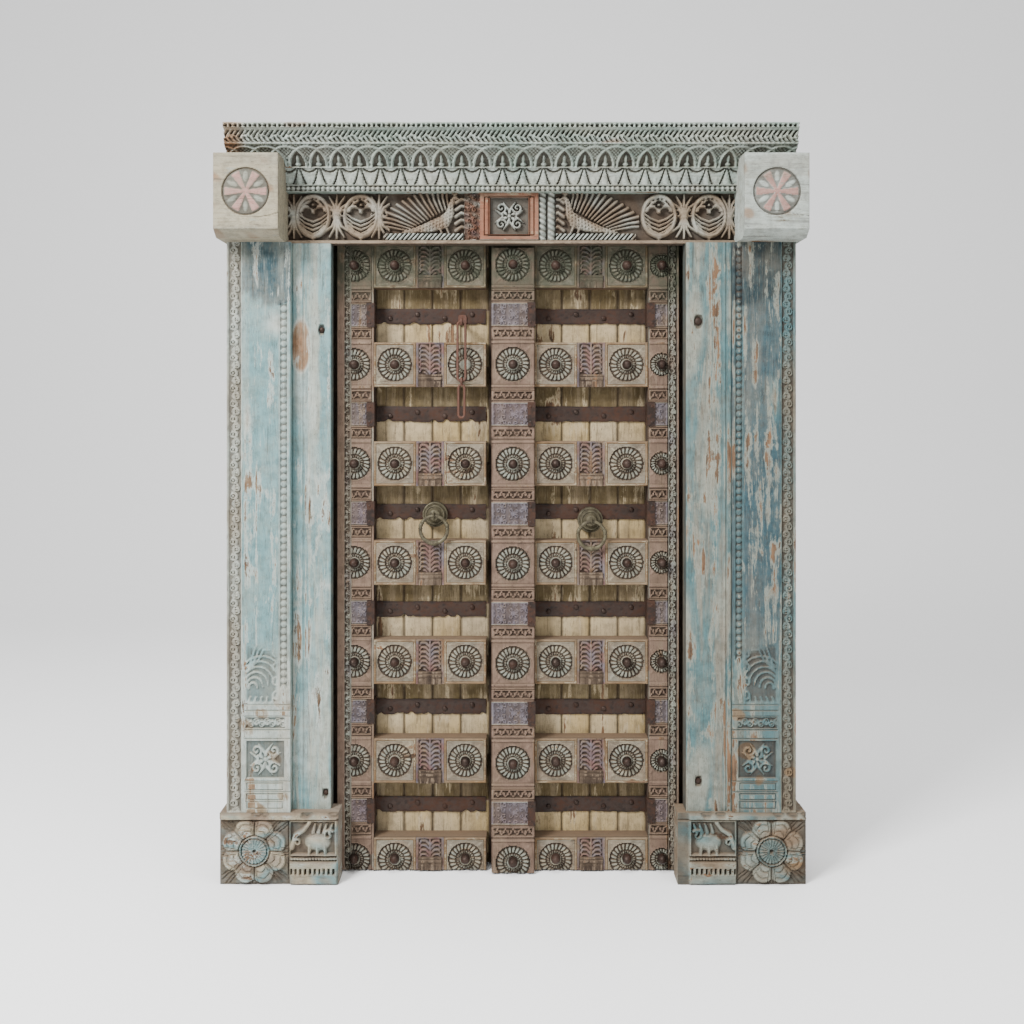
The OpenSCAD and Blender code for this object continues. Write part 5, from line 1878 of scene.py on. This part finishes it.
class DressFrieze(bpy.types.Operator):
    """Carves the lintel's frieze"""
    bl_idname = "temple_door.frieze"
    bl_label = "Frieze"

    def execute(self, context):
        make_lintel(timber_material("Frieze paint", "sand", ("petal", "terracotta", "lavender"),
                                    undercoat="cream", wear=0.15, dusty=0.4, depth=0.82, dust="sand",
                                    grain=(0.1, 1, 1)))
        return {"FINISHED"}


class DressCornice(bpy.types.Operator):
    """Carves the cornice"""
    bl_idname = "temple_door.cornice"
    bl_label = "Cornice"

    def execute(self, context):
        make_cornice(timber_material("Cornice paint", "sea_green", ("petal", "bare", "turquoise"),
                                     undercoat="petal", wear=0.2, dusty=0.3, depth=0.85,
                                     dust="cream", grain=(0.1, 1, 1)))
        return {"FINISHED"}


class DressTiles(bpy.types.Operator):
    """Carves the rosette tiles"""
    bl_idname = "temple_door.tiles"
    bl_label = "Rosette tiles"

    def execute(self, context):
        material = timber_material("Tile paint", "sand", ("chalk", "ochre", "dust"), undercoat="cream",
                                   wear=0.36, dusty=0.45, depth=0.95, grain=(0.15, 1, 1),
                                   soot_line=1.77)
        for side in SIDES:
            make_tiles(side, material)
        return {"FINISHED"}


class DressLeafCarvings(bpy.types.Operator):
    """Carves the mauve leaves between the tiles"""
    bl_idname = "temple_door.leaf_carvings"
    bl_label = "Leaf carvings"

    def execute(self, context):
        material = timber_material("Leaf paint", "mauve", ("lavender", "dust", "dark_timber"),
                                   undercoat="sand", wear=0.34, depth=0.95, soot_line=1.79)
        for side in SIDES:
            make_leaf_carvings(side, material)
        return {"FINISHED"}


class DressStiles(bpy.types.Operator):
    """Carves the hinge stiles and the meeting stile"""
    bl_idname = "temple_door.stiles"
    bl_label = "Stiles"

    def execute(self, context):
        material = timber_material("Stile paint", "umber", ("chalk", "lavender", "mauve"),
                                   undercoat="sand", wear=0.36, dusty=0.35, depth=0.95,
                                   soot_line=1.77)
        make_hinge_stile("left", material, 0.021, 0.018, 0.006)
        make_hinge_stile("right", material, 0.004, 0.026, 0.004)
        make_meeting_stile(material)
        return {"FINISHED"}


class DressBoards(bpy.types.Operator):
    """Makes the rough painted boards"""
    bl_idname = "temple_door.boards"
    bl_label = "Boards"

    def execute(self, context):
        # Accent C paints the shadow under each rail.
        material = timber_material("Board paint", "yellow", ("straw", "mauve", "board_shadow_olive"),
                                   undercoat="straw", wear=0.36, dusty=0.3, depth=0.6)
        for side in SIDES:
            make_boards(side, material)
        return {"FINISHED"}


class DressPlainTimber(bpy.types.Operator):
    """Finishes the timbers that keep their plain sawn shapes"""
    bl_idname = "temple_door.plain_timber"
    bl_label = "Plain timber"

    def execute(self, context):
        across = rail_timber()
        back = plain_timber("Back timber", "dark_timber", 0.75, (0.07, 1, 1), 0.4)
        for side in SIDES:
            for i in range(1, ROWS + 1):
                dress_node(f"{side}_rail_{i}", across, 1.2 * MM)
            dress_node(side + "_rear_battens", back, 1.5 * MM)
            dress_node(side + "_pivot_shoe", back, 1.5 * MM)
        dress_node("head_beam", back, 2 * MM)
        return {"FINISHED"}


class DressIron(bpy.types.Operator):
    """Makes the straps, clips, studs and nails"""
    bl_idname = "temple_door.iron"
    bl_label = "Straps, clips and studs"

    def execute(self, context):
        strap = metal_material("Strap iron", paint("iron"), paint("rust"), (0.060, 0.036, 0.026, 1), 0.8,
                               0.3, metallic=0.05)
        make_straps("left", 7 * MM, strap)
        make_straps("right", 2 * MM, strap)
        for side in SIDES:
            make_clips(side, strap)
            make_heads(side + "_studs", side + "_forged_studs", side + "_leaf", iron(), 28)
            make_heads(side + "_strap_nails", side + "_nail_heads", side + "_leaf", iron(), 16)
        return {"FINISHED"}


class DressPulls(bpy.types.Operator):
    """Makes the roses and their ring pulls"""
    bl_idname = "temple_door.pulls"
    bl_label = "Ring pulls"

    def execute(self, context):
        material = metal_material("Aged brass", paint("brass"), (0.030, 0.024, 0.015, 1),
                                  (0.20, 0.18, 0.12, 1), 0.75, 0.5, metallic=0.6)
        for side in SIDES:
            make_rose(side, material)
            make_ring(side, material)
        return {"FINISHED"}


class DressHasp(bpy.types.Operator):
    """Makes the hanging hasp"""
    bl_idname = "temple_door.hasp"
    bl_label = "Hasp"

    def execute(self, context):
        make_hasp(metal_material("Rusty hasp", (0.055, 0.025, 0.017, 1), (0.085, 0.034, 0.020, 1),
                                 (0.12, 0.07, 0.055, 1), 0.7, 0.4, metallic=0.05))
        return {"FINISHED"}


class SetStage(bpy.types.Operator):
    """Sets the floor, the lights and the camera"""
    bl_idname = "temple_door.stage"
    bl_label = "Stage"

    def execute(self, context):
        set_stage()
        return {"FINISHED"}


OPERATORS = (DressPosts, DressJambs, DressBases, DressCornerBlocks, DressFrieze, DressCornice,
             DressTiles, DressLeafCarvings, DressStiles, DressBoards, DressPlainTimber, DressIron,
             DressPulls, DressHasp, SetStage)


class DoorPanel(bpy.types.Panel):
    """Lists the settings and the operators"""
    bl_idname = "VIEW3D_PT_temple_door"
    bl_label = "Temple Door"
    bl_space_type = "VIEW_3D"
    bl_region_type = "UI"
    bl_category = "Temple Door"

    def draw(self, context):
        for settings in (context.scene.door_carving, context.scene.door_colours):
            box = self.layout.box()
            for name in settings.__annotations__:
                box.prop(settings, name)
        for operator in OPERATORS:
            self.layout.operator(operator.bl_idname)


CLASSES = (DoorCarving, DoorColours, *OPERATORS, DoorPanel)


def register():
    for item in CLASSES:
        bpy.utils.register_class(item)
    bpy.types.Scene.door_carving = PointerProperty(type=DoorCarving)
    bpy.types.Scene.door_colours = PointerProperty(type=DoorColours)


def unregister():
    del bpy.types.Scene.door_colours
    del bpy.types.Scene.door_carving
    for item in reversed(CLASSES):
        bpy.utils.unregister_class(item)


def main():
    register()
    for operator in OPERATORS:
        group, name = operator.bl_idname.split(".")
        getattr(getattr(bpy.ops, group), name)()


if __name__ == "__main__":
    main()
